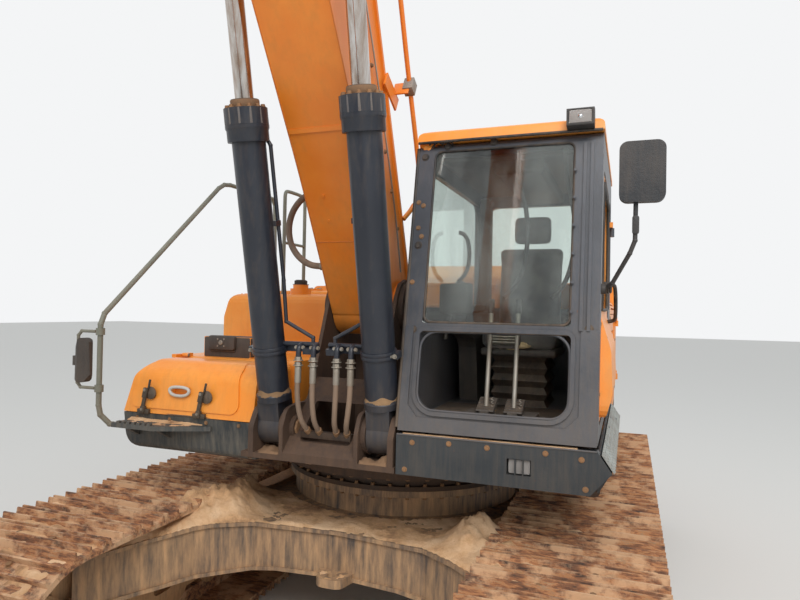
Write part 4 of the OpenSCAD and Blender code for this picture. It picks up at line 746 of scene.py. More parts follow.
bent_tube("grab_handle", [at(548, 560, 2700), at(600, 560, 2690), at(625, 560, 2560), at(610, 560, 2440),
                          at(560, 560, 2380), at(545, 560, 2370)], 0.014, black_rubber, "house")
vents = bmesh.new()
for k in range(5):
    add_block(vents, (0.15, 0.05, 0.006), at(960, 1120, 1992 + 16.0 * k), Matrix.Rotation(-0.5, 3, "X"))
piece("vent_fins", vents, zinc_steel, "house")
vent_frame = [at(x, 1120, z) for x, z in rounded(872, 1050, 1976, 2074, 34)]
bent_tube("vent_surround", vent_frame, 0.011, dark_plastic, "house", closed=True)
block_piece("floor_mat", (0.86, 0.62, 0.012), at(980, 1085, 1587), black_rubber, "house", 0.005, 2)


# Seat
# A sprung operator's seat: foam cushions in ribbed grey cloth on a bellows-covered base.
# The front edge of the cushion is torn and shows pale foam.
seat_cloth, cloth_tree, cloth_shader, cloth_place = start_finish("seat_cloth")
cloth_weft = put(cloth_tree, "ShaderNodeTexWave", {"Scale": 90.0, "Distortion": 1.2, "bands_direction": "X"},
                 {"Vector": cloth_place})
cloth_warp = put(cloth_tree, "ShaderNodeTexWave", {"Scale": 90.0, "Distortion": 1.2, "bands_direction": "Z"},
                 {"Vector": cloth_place})
cloth_weave = put(cloth_tree, "ShaderNodeMath", {"operation": "MULTIPLY"},
                  {0: cloth_weft.outputs["Fac"], 1: cloth_warp.outputs["Fac"]})
cloth_soil = put(cloth_tree, "ShaderNodeTexNoise", {"Scale": 6.0, "Detail": 7.0}, {"Vector": cloth_place})
cloth_colour = put(cloth_tree, "ShaderNodeValToRGB", {"stops": ((0.35, "#3A3A3C"), (0.68, "#6E6A64"))},
                   {"Fac": cloth_soil.outputs["Fac"]})
cloth_tree.links.new(cloth_colour.outputs["Color"], cloth_shader.inputs["Base Color"])
put(cloth_tree, "ShaderNodeBump", {"Strength": 0.5, "Distance": 0.002}, {"Height": cloth_weave.outputs[0]},
    cloth_shader.inputs["Normal"])
cloth_shader.inputs["Roughness"].default_value = 0.92
cloth_shader.inputs["Sheen Weight"].default_value = 0.25


def padded_cushion(name, size, centre, lean, swell):
    """A foam cushion: a rounded block blown up by a short cloth simulation, with its sides pulled in."""
    mesh = bmesh.new()
    add_block(mesh, [v / 1000.0 for v in size], (0, 0, 0))
    soften(mesh, min(size) / 1000.0 * 0.33, 4)
    bmesh.ops.rotate(mesh, verts=mesh.verts, cent=(0, 0, 0), matrix=Matrix.Rotation(math.radians(lean), 3,
                                                                                    "X"))
    bmesh.ops.translate(mesh, vec=centre, verts=mesh.verts)
    made = piece(name, mesh, seat_cloth, "house", smooth=180.0)
    bpy.context.view_layer.objects.active = made
    remesh = made.modifiers.new("even", "REMESH")
    remesh.mode = "VOXEL"
    remesh.voxel_size = 0.016
    shape = bpy.data.meshes.new_from_object(made.evaluated_get(bpy.context.evaluated_depsgraph_get()))
    made.modifiers.clear()
    made.data = shape
    start = [corner.co.copy() for corner in shape.vertices]
    cloth = made.modifiers.new("padding", "CLOTH")
    cloth.settings.use_pressure = True
    cloth.settings.uniform_pressure_force = 4.0
    cloth.settings.effector_weights.gravity = 0.0
    for tick in range(1, 16):
        bpy.context.scene.frame_set(tick)
    swollen = bpy.data.meshes.new_from_object(made.evaluated_get(bpy.context.evaluated_depsgraph_get()))
    made.modifiers.clear()
    bpy.context.scene.frame_set(1)
    made.data = swollen
    for corner, was in zip(swollen.vertices, start):
        moved = corner.co - was
        if moved.length > swell:
            corner.co = was + moved * (swell / moved.length)
    made.data.materials.clear()
    made.data.materials.append(seat_cloth)
    made.data.shade_smooth()
    return made


padded_cushion("seat_cushion", (470, 520, 110), at(980, 490, 1992), -3.0, 0.012)
padded_cushion("seat_backrest", (440, 110, 620), at(980, 226, 2318), -7.0, 0.012)
padded_cushion("seat_headrest", (250, 80, 190), at(980, 150, 2752), -6.0, 0.008)
bellows = bmesh.new()
add_block(bellows, (0.33, 0.4, 0.32), at(980, 470, 1741))
bmesh.ops.subdivide_edges(bellows, edges=[e for e in bellows.edges if abs(e.verts[0].co.z
                                                                          - e.verts[1].co.z) > 0.1], cuts=15,
                          use_grid_fill=True)
for corner in bellows.verts:
    fold = 1.0 + 0.07 * math.cos((corner.co.z - 1.581) / 0.32 * 2.0 * math.pi * 4.0)
    corner.co.x = 0.98 + (corner.co.x - 0.98) * fold
    corner.co.y = at(0, 470, 0).y + (corner.co.y - at(0, 470, 0).y) * fold
piece("seat_bellows", bellows, black_rubber, "house", smooth=60.0)
pan = block_piece("seat_pan", (0.47, 0.53, 0.05), at(980, 480, 1920), dark_plastic, "house", 0.018)
foam = bmesh.new()
bmesh.ops.create_icosphere(foam, subdivisions=4, radius=0.06)
bmesh.ops.scale(foam, vec=(2.1, 0.42, 0.42), verts=foam.verts)
for corner in foam.verts:
    corner.co += corner.co.normalized() * 0.018 * noise.fractal(corner.co * 26.0, 0.6, 2.1, 5)
bmesh.ops.translate(foam, vec=at(930, 742, 1966), verts=foam.verts)
foam_finish = worn_finish("seat_foam", "#C9B48C", "#B59B72", "#8B7355", low=1.6, high=2.2, most=0.4,
                          least=0.1, rough=0.9, run=0.2, grain=0.8)
piece("torn_foam", foam, foam_finish, "house", smooth=180.0)
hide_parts("seat")


# Controls
# Side consoles with joysticks, two travel levers with pedals and a small monitor, in black moulded plastic.
# Ribbed rubber boots close the joysticks' feet; the travel levers are bare steel, worn bright.
give(dark_plastic, "controls")
for side_name, x in (("right", 630.0), ("left", 1330.0)):
    boot = [(54, 0), (45, 10), (49, 17), (39, 27), (43, 34), (32, 44), (35, 51), (23, 62), (14, 64)]
    lathed("joystick_boot_" + side_name, boot, at(x, 820, 2166), (0, 0, 1), black_rubber, "house")
    grip = [(12, 0), (20, 8), (27, 40), (25, 70), (31, 96), (30, 112), (20, 122), (0, 124)]
    lathed("joystick_grip_" + side_name, grip, at(x, 820, 2238), (0, 0, 1), black_rubber, "house")
    block_piece("arm_pad_" + side_name, (0.1, 0.34, 0.05), at(x, 460, 2192), black_rubber, "house", 0.02)
for side_name, x in (("right", 905.0), ("left", 1055.0)):
    bent_tube("travel_lever_" + side_name, [at(x, 1290, 1600), at(x, 1235, 1885), at(x, 1180, 2170)], 0.0125,
              zinc_steel, "house")
    ribs = bmesh.new()
    for k in range(6):
        add_block(ribs, (0.092, 0.006, 0.006), at(x, 1216 + 19 * k, 1694 - 8.6 * k))
    piece("pedal_ribs_" + side_name, ribs, black_rubber, "house")
    spring = [at(x + 34 + a, 1275 + b, 1604 + 3.1 * k) for k, (a, b) in enumerate(around(9, 34, 1.1))]
    bent_tube("pedal_spring_" + side_name, spring, 0.0022, zinc_steel, "house", resolution=3)
block_piece("monitor", (0.24, 0.06, 0.19), at(640, 960, 2245), trim_plastic, "house", 0.018,
            turn=Matrix.Rotation(math.radians(-28), 3, "Z"))
bent_tube("monitor_stalk", [at(560, 900, 2000), at(575, 920, 2120), at(625, 950, 2200)], 0.016, dark_plastic,
          "house")
buttons = [at(600 + 22 * (k % 3), 640 + 24 * (k // 3), 2171) for k in range(9)]
heads("console_buttons", buttons, (0, 0, 1), 0.0075, 0.005, zinc_steel, "house", sides=12)


# Cab skirt
# A folded front plate under the cab with a small lamp behind two bars, and a sloped step along its side.
# Dark paint, rubbed to pale bare metal on the step where boots land; bolted to the deck.
skirt_enamel = worn_finish("skirt_enamel", "#262A2D", "#323639", "#5F5447", low=1.25, high=1.55, most=0.2,
                           least=0.0, rough=0.42, chip="#6A4029", chips=0.04, run=0.6, across=14.0)
give(skirt_enamel, "cab_skirt")
bare_step = worn_finish("bare_step", "#A9AFAB", "#8F9490", "#84766A", low=1.2, high=1.7, most=0.4, least=0.2,
                        rough=0.5, metal=0.3, chip="#4A4D50", chips=0.12, run=0.5, grain=0.4)
slab("side_tread", [(1570.5, 1417), (1513, 1502), (1511, 1500.5), (1568.5, 1415.5)], -325, 1495, bare_step,
     "house", edge=0.0)
knobs = [at(1568 - 16 * r, -290 + 60 * k + 30 * (r % 2), 1421 + 23.6 * r) for r in range(4)
         for k in range(30)]
heads("side_tread_knobs", knobs, Vector((0.83, 0, 0.56)), 0.009, 0.004, bare_step, "house", sides=10)
lamp_glass = fluted_lens("lamp_glass", "#B9B3AE", 0.15, 55.0, 0.3, 0.6, 0.003)
lamp_glass.node_tree.nodes["Principled BSDF"].inputs["Transmission Weight"].default_value = 0.35
slab("skirt_lamp", rounded(1066, 1174, 1366, 1438, 8), 1463, 1484, lamp_glass, "house", edge=4.0)
spots = [at(x, 1500.3, z) for x, z in ((560, 1475), (760, 1486), (960, 1484), (1250, 1484), (1420, 1470),
                                       (520, 1330), (1440, 1330))]
heads("skirt_screws", spots, (0, -1, 0), 0.011, 0.007, bolt_finish, "house")
bent_tube("skirt_edge_weld", [at(x, 1499, 1513) for x in (474, 900, 1200, 1490)], 0.005, cab_enamel, "house")
worn_sill = bmesh.new()
bmesh.ops.create_grid(worn_sill, x_segments=60, y_segments=6, size=0.5)
for corner in worn_sill.verts:
    u, v = corner.co.x + 0.5, corner.co.y + 0.5
    x = 500.0 + 900.0 * u
    lift = 1.0 + 1.5 * noise.noise(Vector((x * 0.02, v * 3.0, 0.0)))
    z = 1517.0 + lift if v < 0.8 else 1513.0
    corner.co = at(x, 1450.0 + 46.0 * v, z)
piece("dirt_on_skirt", worn_sill, dried_mud, "house", smooth=180.0)


# Cab door
# An orange pressed door with a framed window and a bulged foot, hung on two pin hinges at its rear edge.
# A rubber gasket holds the pane, and the handle is cast and black.
give(housing_enamel, "cab_door")
door_pane = [at(1487, f, z) for f, z in ((1172, 2200), (1052, 2885), (990, 2899), (250, 2899), (192, 2850),
                                         (192, 2250), (250, 2194), (1100, 2194))]
bent_tube("door_gasket", door_pane, 0.010, black_rubber, "cab_door", closed=True)
handle = [at(1512, f, z) for f, z in ((1125, 2018), (1196, 2016), (1192, 2045), (1125, 2046))]
bent_tube("door_handle_grip", handle, 0.011, black_rubber, "cab_door", closed=True)
bent_tube("door_pull", [at(1480, 420, 2120), at(1535, 420, 2124), at(1548, 440, 2150), at(1548, 620, 2330),
                        at(1535, 640, 2352), at(1480, 642, 2356)], 0.012, black_rubber, "cab_door")
spots = [at(1486.5, f, z) for f, z in ((150, 1690), (150, 2780), (300, 2930), (900, 2935), (1210, 2120),
                                       (1262, 1760))]
heads("door_screws", spots, (1, 0, 0), 0.009, 0.005, bolt_finish, "cab_door")
spots = [at(1352, front_of_cab(z, 16.0), z) for z in range(2180, 3080, 150)]
heads("pillar_rivets", spots, cab_facing, 0.007, 0.004, cab_enamel, "house", sides=12)


# Side housings and engine hood
# Bent sheet panels in orange enamel round the engine bay; doors on pin hinges, the hood hinged at its front.
# Wire mesh closes the cooling slots from inside, and the engine is a dark casting under them.
give(housing_enamel, "left_housing", "right_housing", "left_door", "right_door", "engine_surround", "hood")
engine_iron = worn_finish("engine_iron", "#2C2D2E", "#3B3A38", "#6B5B4A", low=1.3, high=2.4, most=0.5,
                          least=0.25, rough=0.55, metal=0.2)
give(engine_iron, "engine_block")
for side_name, side, first, last in (("left", 1.0, -2440.0, -360.0), ("right", -1.0, -2440.0, -1020.0)):
    mesh_wire = bmesh.new()
    for k in range(int((last - first - 780) / 16)):
        add_block(mesh_wire, (0.003, 0.003, 0.56), at(side * 1446, first + 345 + 16 * k, 1745))
    for k in range(35):
        add_block(mesh_wire, (0.003, (last - first - 760) / 1000.0, 0.003),
                  at(side * 1443, (first + last) / 2.0 - 20, 1468 + 16 * k))
    piece("door_mesh_" + side_name, mesh_wire, dark_plastic, side_name + "_door")
    handle = [at(side * 1506, f, z) for f, z in ((last - 246, 1756), (last - 209, 1756), (last - 209, 1894),
                                                 (last - 246, 1894))]
    bent_tube("side_door_grip_" + side_name, handle, 0.010, black_rubber, side_name + "_door", closed=True)
    lathed("side_door_lock_" + side_name, [(0, 9), (15, 9), (19, 5), (20, 0)],
           at(side * 1487, last - 226, 1705), (side, 0, 0), zinc_steel, side_name + "_door")
    spots = [at(side * 1490.5, f, z) for f in (first + 60, last - 60) for z in (1400, 1650, 1900, 2140)]
    heads("housing_screws_" + side_name, spots, (side, 0, 0), 0.011, 0.007, zinc_steel, "house")
    roof_spots = [at(side * x, first + 90 + k * (last - first - 180) / 5.0, 2400.5) for x in (1300, 960)
                  for k in range(6)]
    heads("housing_roof_screws_" + side_name, roof_spots, (0, 0, 1), 0.011, 0.007, zinc_steel, "house")
for k, x in enumerate((-700.0, 440.0)):
    lathed("hood_hinge_cap_%d" % k, [(0, 4), (12, 4), (15, 1), (15, 0)], at(x + 50, -1004, 2412), (1, 0, 0),
           zinc_steel, "house")
hood_grip = [at(-130 + dx, -2446, z) for dx, z in ((-90, 2432), (-90, 2458), (90, 2458), (90, 2432))]
bent_tube("hood_grip", [spot + Vector((0, 0.012, 0)) for spot in hood_grip], 0.010, black_rubber, "hood")
spots = [at(x, f, 2609) for x in (-600, -130, 340) for f in (-1350, -1600)]
heads("hood_screws", spots, (0, 0, 1), 0.011, 0.006, zinc_steel, "hood")
slot_mesh = bmesh.new()
for x0, x1 in ((-640.0, -300.0), (-200.0, 140.0)):
    for k in range(22):
        add_block(slot_mesh, (0.003, 0.52, 0.003), at(x0 + 6 + k * 15.6, -1925, 2573))
piece("hood_slot_mesh", slot_mesh, dark_plastic, "hood")


# Fuel tank and hydraulic tank
# Two welded steel tanks with broad rounded edges, in orange enamel stained brown where water runs off.
# The fuel tank steps down towards the front, with a filler cap and a tread plate of raised bars on its top.
tank_enamel = worn_finish("tank_enamel", "#F0902C", "#F7A84C", "#B0733B", low=1.3, high=2.0, most=0.2,
                          least=0.0, rough=0.34, chip="#7A4A2C", chips=0.03, run=0.45, across=7.0)
give(tank_enamel, "fuel_tank", "hydraulic_tank")
lathed("fuel_cap", [(0, 40), (40, 40), (48, 34), (50, 6), (66, 4), (66, 0)], at(-900, 120, 2362), (0, 0, 1),
       black_rubber, "house")
cap_ribs = bmesh.new()
for a, b in around(49, 18, math.pi / 9):
    add_block(cap_ribs, (0.006, 0.006, 0.028), at(-900 + a, 120 + b, 2382))
piece("fuel_cap_ribs", cap_ribs, black_rubber, "house")
tread = bmesh.new()
for row in range(9):
    for k in range(7):
        turn = Matrix.Rotation(0.78 if (row + k) % 2 else -0.78, 3, "Z")
        add_block(tread, (0.034, 0.007, 0.005), at(-1380 + 52 * k, -250 + 62 * row, 2281), turn)
piece("tank_tread", tread, tank_enamel, "house")
lathed("breather", [(0, 62), (26, 60), (34, 50), (34, 8), (20, 4), (20, 0)], at(-760, -640, 2391), (0, 0, 1),
       black_rubber, "house")
spots = [at(-760 + a, -640 + b, 2356) for a, b in around(100, 6, 1.047)]
spots += [at(-1100 + a, -500 + b, 2350) for a, b in around(56, 4, 1.571)]
heads("tank_lid_screws", spots, (0, 0, 1), 0.011, 0.010, zinc_steel, "house")
slab("front_case", rounded(-1262, -868, 1807, 1957, 16), 698, 872, dark_plastic, "house", edge=9.0)
slab("front_case_flap", rounded(-1206, -984, 1862, 1966, 20), 862, 903, dark_plastic, "house", edge=11.0)
slab("front_case_hinge", rounded(-1200, -990, 1851, 1861, 4), 868, 884, black_rubber, "house", edge=3.0)
lathed("front_case_lock", [(0, 3), (6, 3), (8, 7), (14, 7), (17, 4), (17, 0)], at(-1095, 902, 1916),
       (0, -1, 0), zinc_steel, "house", steps=24)
heads("front_case_screws", [at(x, 903, z) for x in (-1122, -1068) for z in (1891, 1941)], (0, -1, 0), 0.005,
      0.003, zinc_steel, "house", sides=10)


# Storage box
# A rounded dark tub on the deck's front with a domed orange lid, hinged at its rear edge.
# Two draw latches hold the lid down; the tub's front lip carries a saw-edged step.
tub_enamel = worn_finish("tub_enamel", "#2E3335", "#3D4141", "#736B5F", low=1.1, high=1.5, most=0.42,
                         least=0.22, rough=0.55, chip="#6A4029", chips=0.03, run=1.0, across=16.0)
give(tub_enamel, "storage_box")
give(tank_enamel, "storage_lid")


def draw_latch(name, x, forward, body):
    """An over-centre latch that leans a little: foot hook, strap, round cover and the folded lever's tip."""
    latch = bmesh.new()
    for dx, z, wide, tall, thick, out in ((-28, 1486, 92, 30, 22, 4), (-26, 1500, 30, 44, 26, 12),
                                          (-20, 1546, 26, 78, 12, 15), (-6, 1606, 34, 66, 22, 16),
                                          (20, 1664, 14, 62, 10, 12)):
        add_block(latch, (wide / 1000.0, thick / 1000.0, tall / 1000.0), at(x + dx, forward + out, z),
                  Matrix.Rotation(0.22, 3, "Y") if z > 1520 else None)
    soften(latch, 0.0035, 2)
    piece(name, latch, latch_steel, body)
    lathed(name + "_cover", [(0, 15), (12, 15), (17, 12), (35, 11), (40, 7), (40, 0)],
           at(x + 24, forward - 2, 1606), (0, -1, 0), black_rubber, body, steps=32)
    heads(name + "_pivots", [at(x - 6, forward + 26, 1626), at(x - 30, forward + 24, 1500)], (0, -1, 0),
          0.008, 0.006, zinc_steel, body, sides=10)


latch_steel = worn_finish("latch_steel", "#33302D", "#4A443D", "#7B6A57", low=1.3, high=1.8, most=0.4,
                          least=0.2, rough=0.5, metal=0.5, grain=0.4)
for k, x in enumerate((-1290.0, -856.0)):
    draw_latch("lid_latch_%d" % k, x, 1390, "storage_lid")
pale_trim = worn_finish("pale_trim", "#C9C6BF", "#B5B0A6", "#8F8272", low=1.3, high=1.8, most=0.3, least=0.05,
                        rough=0.4, grain=0.1)
grip_rim = [at(x, 1389, z) for x, z in ((-1110, 1601), (-978, 1601), (-961, 1657), (-1127, 1657))]
bent_tube("lid_grip_rim", grip_rim, 0.010, pale_trim, "storage_lid", closed=True)
lip = [at(x, f, 1477) for x, f in ((-1484, 950), (-1484, 1320), (-1430, 1378), (-560, 1378), (-506, 1340),
                                   (-506, 950))]
bent_tube("lid_seal", lip, 0.007, black_rubber, "storage_lid")
for k, x in enumerate((-1400.0, -620.0)):
    lathed("lid_hinge_cap_%d" % k, [(0, 4), (10, 4), (13, 1), (13, 0)], at(x + 50, 928, 1818), (1, 0, 0),
           zinc_steel, "house")
spots = [at(x, 1382.5, z) for x, z in ((-1380, 1440), (-1120, 1446), (-840, 1446), (-600, 1446))]
heads("tub_screws", spots, (0, -1, 0), 0.010, 0.006, bolt_finish, "house")
step_dirt = bmesh.new()
bmesh.ops.create_grid(step_dirt, x_segments=70, y_segments=14, size=0.5)
for corner in step_dirt.verts:
    u, v = corner.co.x + 0.5, corner.co.y + 0.5
    x = -1430.0 + 560.0 * u
    reach = 150.0 * min(1.0, 1.0 - (x + 1110.0) / 290.0)
    f = 1372.0 + reach * v
    spot = Vector((x * 0.012, f * 0.012, 2.0))
    z = 1425.0 + 5.0 * noise.fractal(spot, 0.7, 2.0, 5) + (16.0 * max(0.0, 1.0 - v * 3.0))
    corner.co = at(x, f, z)
piece("dirt_on_step", step_dirt, dried_mud, "house", smooth=180.0)


# Handrail
# One bent steel tube from the step up to the tank's top, in olive grey enamel rubbed bright by hands.
# Clamps hold its small mirror bracket.
rail_enamel = worn_finish("rail_enamel", "#6E7164", "#8A8C7F", "#7B6A57", low=1.3, high=2.6, most=0.5,
                          least=0.12, rough=0.42, chip="#4A4038", chips=0.06)
give(rail_enamel, "handrails")
spots = [at(-1548, 1568, z) for z in (1640, 2000)]
heads("rail_clamp_screws", spots, (-1, 0, 0), 0.010, 0.009, bolt_finish, "house")


# Guard rail
# A bent tube loop bolted to the fuel tank's top, with a lower bar, in the handrail's olive enamel.
guard = [at(-1150, f, z) for f, z in ((-20, 2282), (-20, 2700), (-20, 3090), (-24, 3164), (-70, 3180),
                                      (-320, 3180), (-366, 3164), (-370, 3090), (-370, 2700), (-370, 2282))]
bent_tube("guard_rail", guard, 0.0155, rail_enamel, "house")
bent_tube("guard_bar", [at(-1150, -20, 2730), at(-1150, -195, 2730), at(-1150, -370, 2730)], 0.0125,
          rail_enamel, "house")
for k, f in enumerate((-20.0, -370.0)):
    lathed("guard_foot_%d" % k, [(0, 8), (38, 8), (42, 5), (42, 0)], at(-1150, f, 2279), (0, 0, 1),
           rail_enamel, "house")


# Mirrors
# Black moulded shells on bent arms, each holding a silvered glass that faces the operator.
give(dark_plastic, "mirrors")
mirror_glass, mirror_tree, mirror_shader, mirror_place = start_finish("mirror_glass")
mirror_film = put(mirror_tree, "ShaderNodeTexNoise", {"Scale": 7.0, "Detail": 6.0}, {"Vector": mirror_place})
put(mirror_tree, "ShaderNodeMapRange", {"From Min": 0.4, "From Max": 0.8, "To Min": 0.02, "To Max": 0.3},
    {"Value": mirror_film.outputs["Fac"]}, mirror_shader.inputs["Roughness"])
mirror_shader.inputs["Base Color"].default_value = paint("#C9CDD0")
mirror_shader.inputs["Metallic"].default_value = 1.0
slab("left_mirror_glass", rounded(1591, 1763, 2731, 2987, 27), 1387, 1390, mirror_glass, "house", edge=0.8)
bent_tube("left_mirror_rim", [at(x, 1388, z) for x, z in rounded(1584, 1770, 2724, 2994, 32)], 0.006,
          black_rubber, "house", closed=True)
lathed("mirror_arm_boot", [(15, 30), (24, 24), (18, 18), (27, 11), (21, 5), (30, 0)], at(1512, 1250, 2300),
       (1, 0, 0), black_rubber, "house")
slab("left_mirror_clamp", rounded(1634, 1666, 2560, 2650, 12), 1396, 1420, dark_plastic, "house", edge=4.0)


# Exhaust
# A bent steel pipe behind the hydraulic tank, rusted dark by heat, on a bolted foot.
hot_steel = worn_finish("hot_steel", "#4A3A33", "#6A4936", "#7D6552", low=2.3, high=2.9, most=0.35,
                        least=0.15, rough=0.7, metal=0.3)
give(hot_steel, "exhaust")
spots = [at(-1080 + a, -1300 + b, 2414) for a, b in around(80, 4, 1.571, 0.785)]
heads("exhaust_screws", spots, (0, 0, 1), 0.010, 0.010, zinc_steel, "house")
bent_tube("exhaust_clamp", [at(-1080 + a, -1300 + b, 2640) for a, b in around(64, 8, 0.785)], 0.007,
          zinc_steel, "house", closed=True)


# Work lamp
# A black box lamp on the cab roof's front corner, with a reflector behind clear fluted glass.
give(dark_plastic, "work_lamps")
slab("lamp_lens", rounded(1319, 1433, 3163, 3231, 14), 1279, 1287, lamp_glass, "house", edge=3.0)
lathed("lamp_bulb", [(0, 14), (8, 12), (14, 4), (22, 0)], at(1376, 1279.5, 3197), (0, -1, 0), mirror_glass,
       "house", steps=24)
bent_tube("lamp_wire", [at(1340, 1215, 3170), at(1310, 1195, 3178), at(1280, 1180, 3160),
                        at(1262, 1196, 3148)], 0.005, black_rubber, "house")
spots = [at(x, 1283, z) for x in (1322, 1430) for z in (3166, 3228)]
heads("lamp_screws", spots, (0, -1, 0), 0.004, 0.004, zinc_steel, "house", sides=8)


# Boom
# A tapered box of welded plate: side plates, belly and back, with cast bosses at its pins.
# Deeper orange than the body, as painted shade of the shaded belly; weld beads along its seams, darker still
# as painted shade, pipes and clamps on its back.
boom_turn = math.radians(61.8)
boom_lean = Matrix.Rotation(boom_turn - math.pi / 2, 3, "X")


def on_boom(x, along, off):
    """A point of the boom: across, along its first section from the foot pin, and off it towards its back."""
    return at(x, 730 + along * math.cos(boom_turn) - off * math.sin(boom_turn),
              2180 + along * math.sin(boom_turn) + off * math.cos(boom_turn))


# The boom's orange is a darker, redder copy of the body's paint: painted shade, not a different paint.
boom_orange_painted_shade = worn_finish("boom_orange_painted_shade", "#E0781F", "#E88A30", "#A8713A", low=1.6, high=3.0, most=0.26,
                          least=0.0, rough=0.33, chip="#7A4A2C", chips=0.01, run=0.45, across=6.0, grain=0.12)
give(boom_orange_painted_shade, "boom")
# Weld beads darker still than the boom: painted shade along the belly seams.
weld_painted_shade = worn_finish("weld_painted_shade", "#C9691D", "#D67B2C", "#96683F", low=1.6, high=3.4, most=0.4,
                         least=0.1, rough=0.45, grain=0.3)
for side_name, x in (("right", -214.0), ("left", 214.0)):
    seam = [on_boom(x, u, v) for u, v in ((160, -175), (600, -190), (1000, -206), (1500, -255), (2090, -310),
                                          (2800, -380))]
    bent_tube("belly_weld_" + side_name, seam, 0.0035, weld_painted_shade, "boom")
for k, (u, v) in enumerate(((560, -187), (1250, -229), (1262, -230), (2490, -350))):
    bent_tube("belly_cross_weld_%d" % k, [on_boom(-205, u, v - 1.5), on_boom(0, u, v - 1.5),
                                          on_boom(205, u, v - 1.5)], 0.0032, weld_painted_shade, "boom")
boom_normal = (on_boom(0, 0, -1) - on_boom(0, 0, 0)).normalized()
spots = [on_boom(x, u, v) for x, u, v in ((-90, 700, -193), (90, 700, -193), (-90, 860, -199),
                                          (90, 860, -199))]
heads("belly_screws", spots, boom_normal, 0.010, 0.007, boom_orange_painted_shade, "boom")
for side_name, way in (("left", 1.0), ("right", -1.0)):
    ring = [on_boom(way * 233, 2846 + a, b) for a, b in around(92, 6, 1.0472)]
    heads("lift_pin_screws_" + side_name, ring, (way, 0, 0), 0.012, 0.010, bolt_finish, "boom")
    steps = [on_boom(way * 216, 520 + 250 * k, 120) for k in range(7)]
    heads("boom_clip_screws_" + side_name, steps, (way, 0, 0), 0.011, 0.012, bolt_finish, "boom")
lube = [on_boom(217.5, u, v) for u, v in ((240, 60), (520, 122), (1100, 170), (1900, 200), (2500, 120),
                                          (2790, 40))]
bent_tube("boom_grease_pipe", lube, 0.005, zinc_steel, "boom")
block_piece("boom_lamp", (0.075, 0.11, 0.13), on_boom(255, 2240, -215), dark_plastic, "boom", 0.014)
block_piece("boom_lamp_lens", (0.055, 0.01, 0.095), on_boom(255, 2240, -215) + Vector((0, -0.057, 0)),
            lamp_glass, "boom", 0.004, 3)


# Boom pipes
# Four steel pipes in the boom's colour lie along its back in clamps, with a rubber hose loop at their foot.
# An orange pipe and a clamp on the cab side carry oil to the arm.
give(boom_orange_painted_shade, "boom_pipes")
pipe_block = worn_finish("pipe_block", "#8D8780", "#A39A8E", "#7E6B58", low=2.0, high=5.0, most=0.3,
                         least=0.15, rough=0.5, metal=0.3, grain=0.3)
for k, (u, v) in enumerate(((900, 308.6), (2200, 428.0))):
    block_piece("pipe_clamp_%d" % k, (0.3, 0.06, 0.012), on_boom(0, u, v + 34), boom_orange_painted_shade, "boom", 0.003, 2,
                boom_lean)


def smooth_path(knots, steps=8):
    """Points on one smooth curve through these knots."""
    line = [knots[0] * 2.0 - knots[1]] + list(knots) + [knots[-1] * 2.0 - knots[-2]]
    spots = []
    for i in range(1, len(line) - 2):
        a, b, c, d = line[i - 1:i + 3]
        for k in range(steps):
            t = k / steps
            spots.append(0.5 * ((2.0 * b) + (c - a) * t + (2.0 * a - 5.0 * b + 4.0 * c - d) * t * t
                                + (3.0 * b - a - 3.0 * c + d) * t * t * t))
    return spots + [knots[-1]]


def boom_back(along):
    """How far the boom's back plate lies off its first section's line, in mm."""
    return 290.0 + (along - 700.0) * 0.093 if along < 1000.0 else 318.0 + (along - 1000.0) * 0.0917


side_pipe = [on_boom(x, u, boom_back(u) + out) for x, u, out in ((222, 540, -30), (262, 590, 70),
                                                                 (300, 700, 150), (300, 1500, 158),
                                                                 (300, 2500, 158), (285, 2700, 110),
                                                                 (222, 2800, -30))]
bent_tube("boom_side_pipe", smooth_path(side_pipe), 0.0155, boom_orange_painted_shade, "boom")
for k, u in enumerate((1330.0, 2330.0)):
    lathed("side_pipe_sleeve_%d" % k, [(15.6, 0), (19, 3), (19, 60), (15.6, 63)],
           on_boom(300, u + 560, boom_back(u) + 206), on_boom(0, 1, 0.0917) - on_boom(0, 0, 0), boom_orange_painted_shade,
           "boom")
    for part, size, x, out, finish in (("arm", (0.105, 0.012, 0.095), 258.0, 118.0, boom_orange_painted_shade),
                                       ("block", (0.066, 0.072, 0.092), 300.0, 158.0, pipe_block)):
        block_piece("side_pipe_%s_%d" % (part, k), size, on_boom(x, u, boom_back(u) + out), finish, "boom",
                    0.004, 2, boom_lean)
    block_piece("side_pipe_stay_%d" % k, (0.012, 0.22, 0.095), on_boom(222, u, boom_back(u) + 20),
                boom_orange_painted_shade, "boom", turn=boom_lean)


# Lifting cylinders
# Steel tubes 184 mm across in dark blue-grey enamel, with a bolted gland ring and a pinned forged foot.
# The rods are hard chrome; dried mud sits on the rings and feet.
cylinder_enamel = worn_finish("cylinder_enamel", "#1E222B", "#282C35", "#5F5143", low=1.45, high=1.8,
                              most=0.3, least=0.0, rough=0.36, chip="#5E4131", chips=0.03, run=0.5,
                              across=12.0, grain=0.12)
give(cylinder_enamel, "boom_barrel_left", "boom_barrel_right", "arm_barrel", "bucket_barrel")
lift_turn = math.atan2(4688.2 - 1468.0, 2074.9 - 1355.0)
lift_way = Vector((0.0, -math.cos(lift_turn), math.sin(lift_turn)))


def on_lift(x, along, across=0.0, out=0.0):
    """A point of a lifting cylinder: its centre, along it from the foot pin, sideways, to the front."""
    return at(x + across, 1355 + along * math.cos(lift_turn) + out * math.sin(lift_turn),
              1468 + along * math.sin(lift_turn) - out * math.cos(lift_turn))


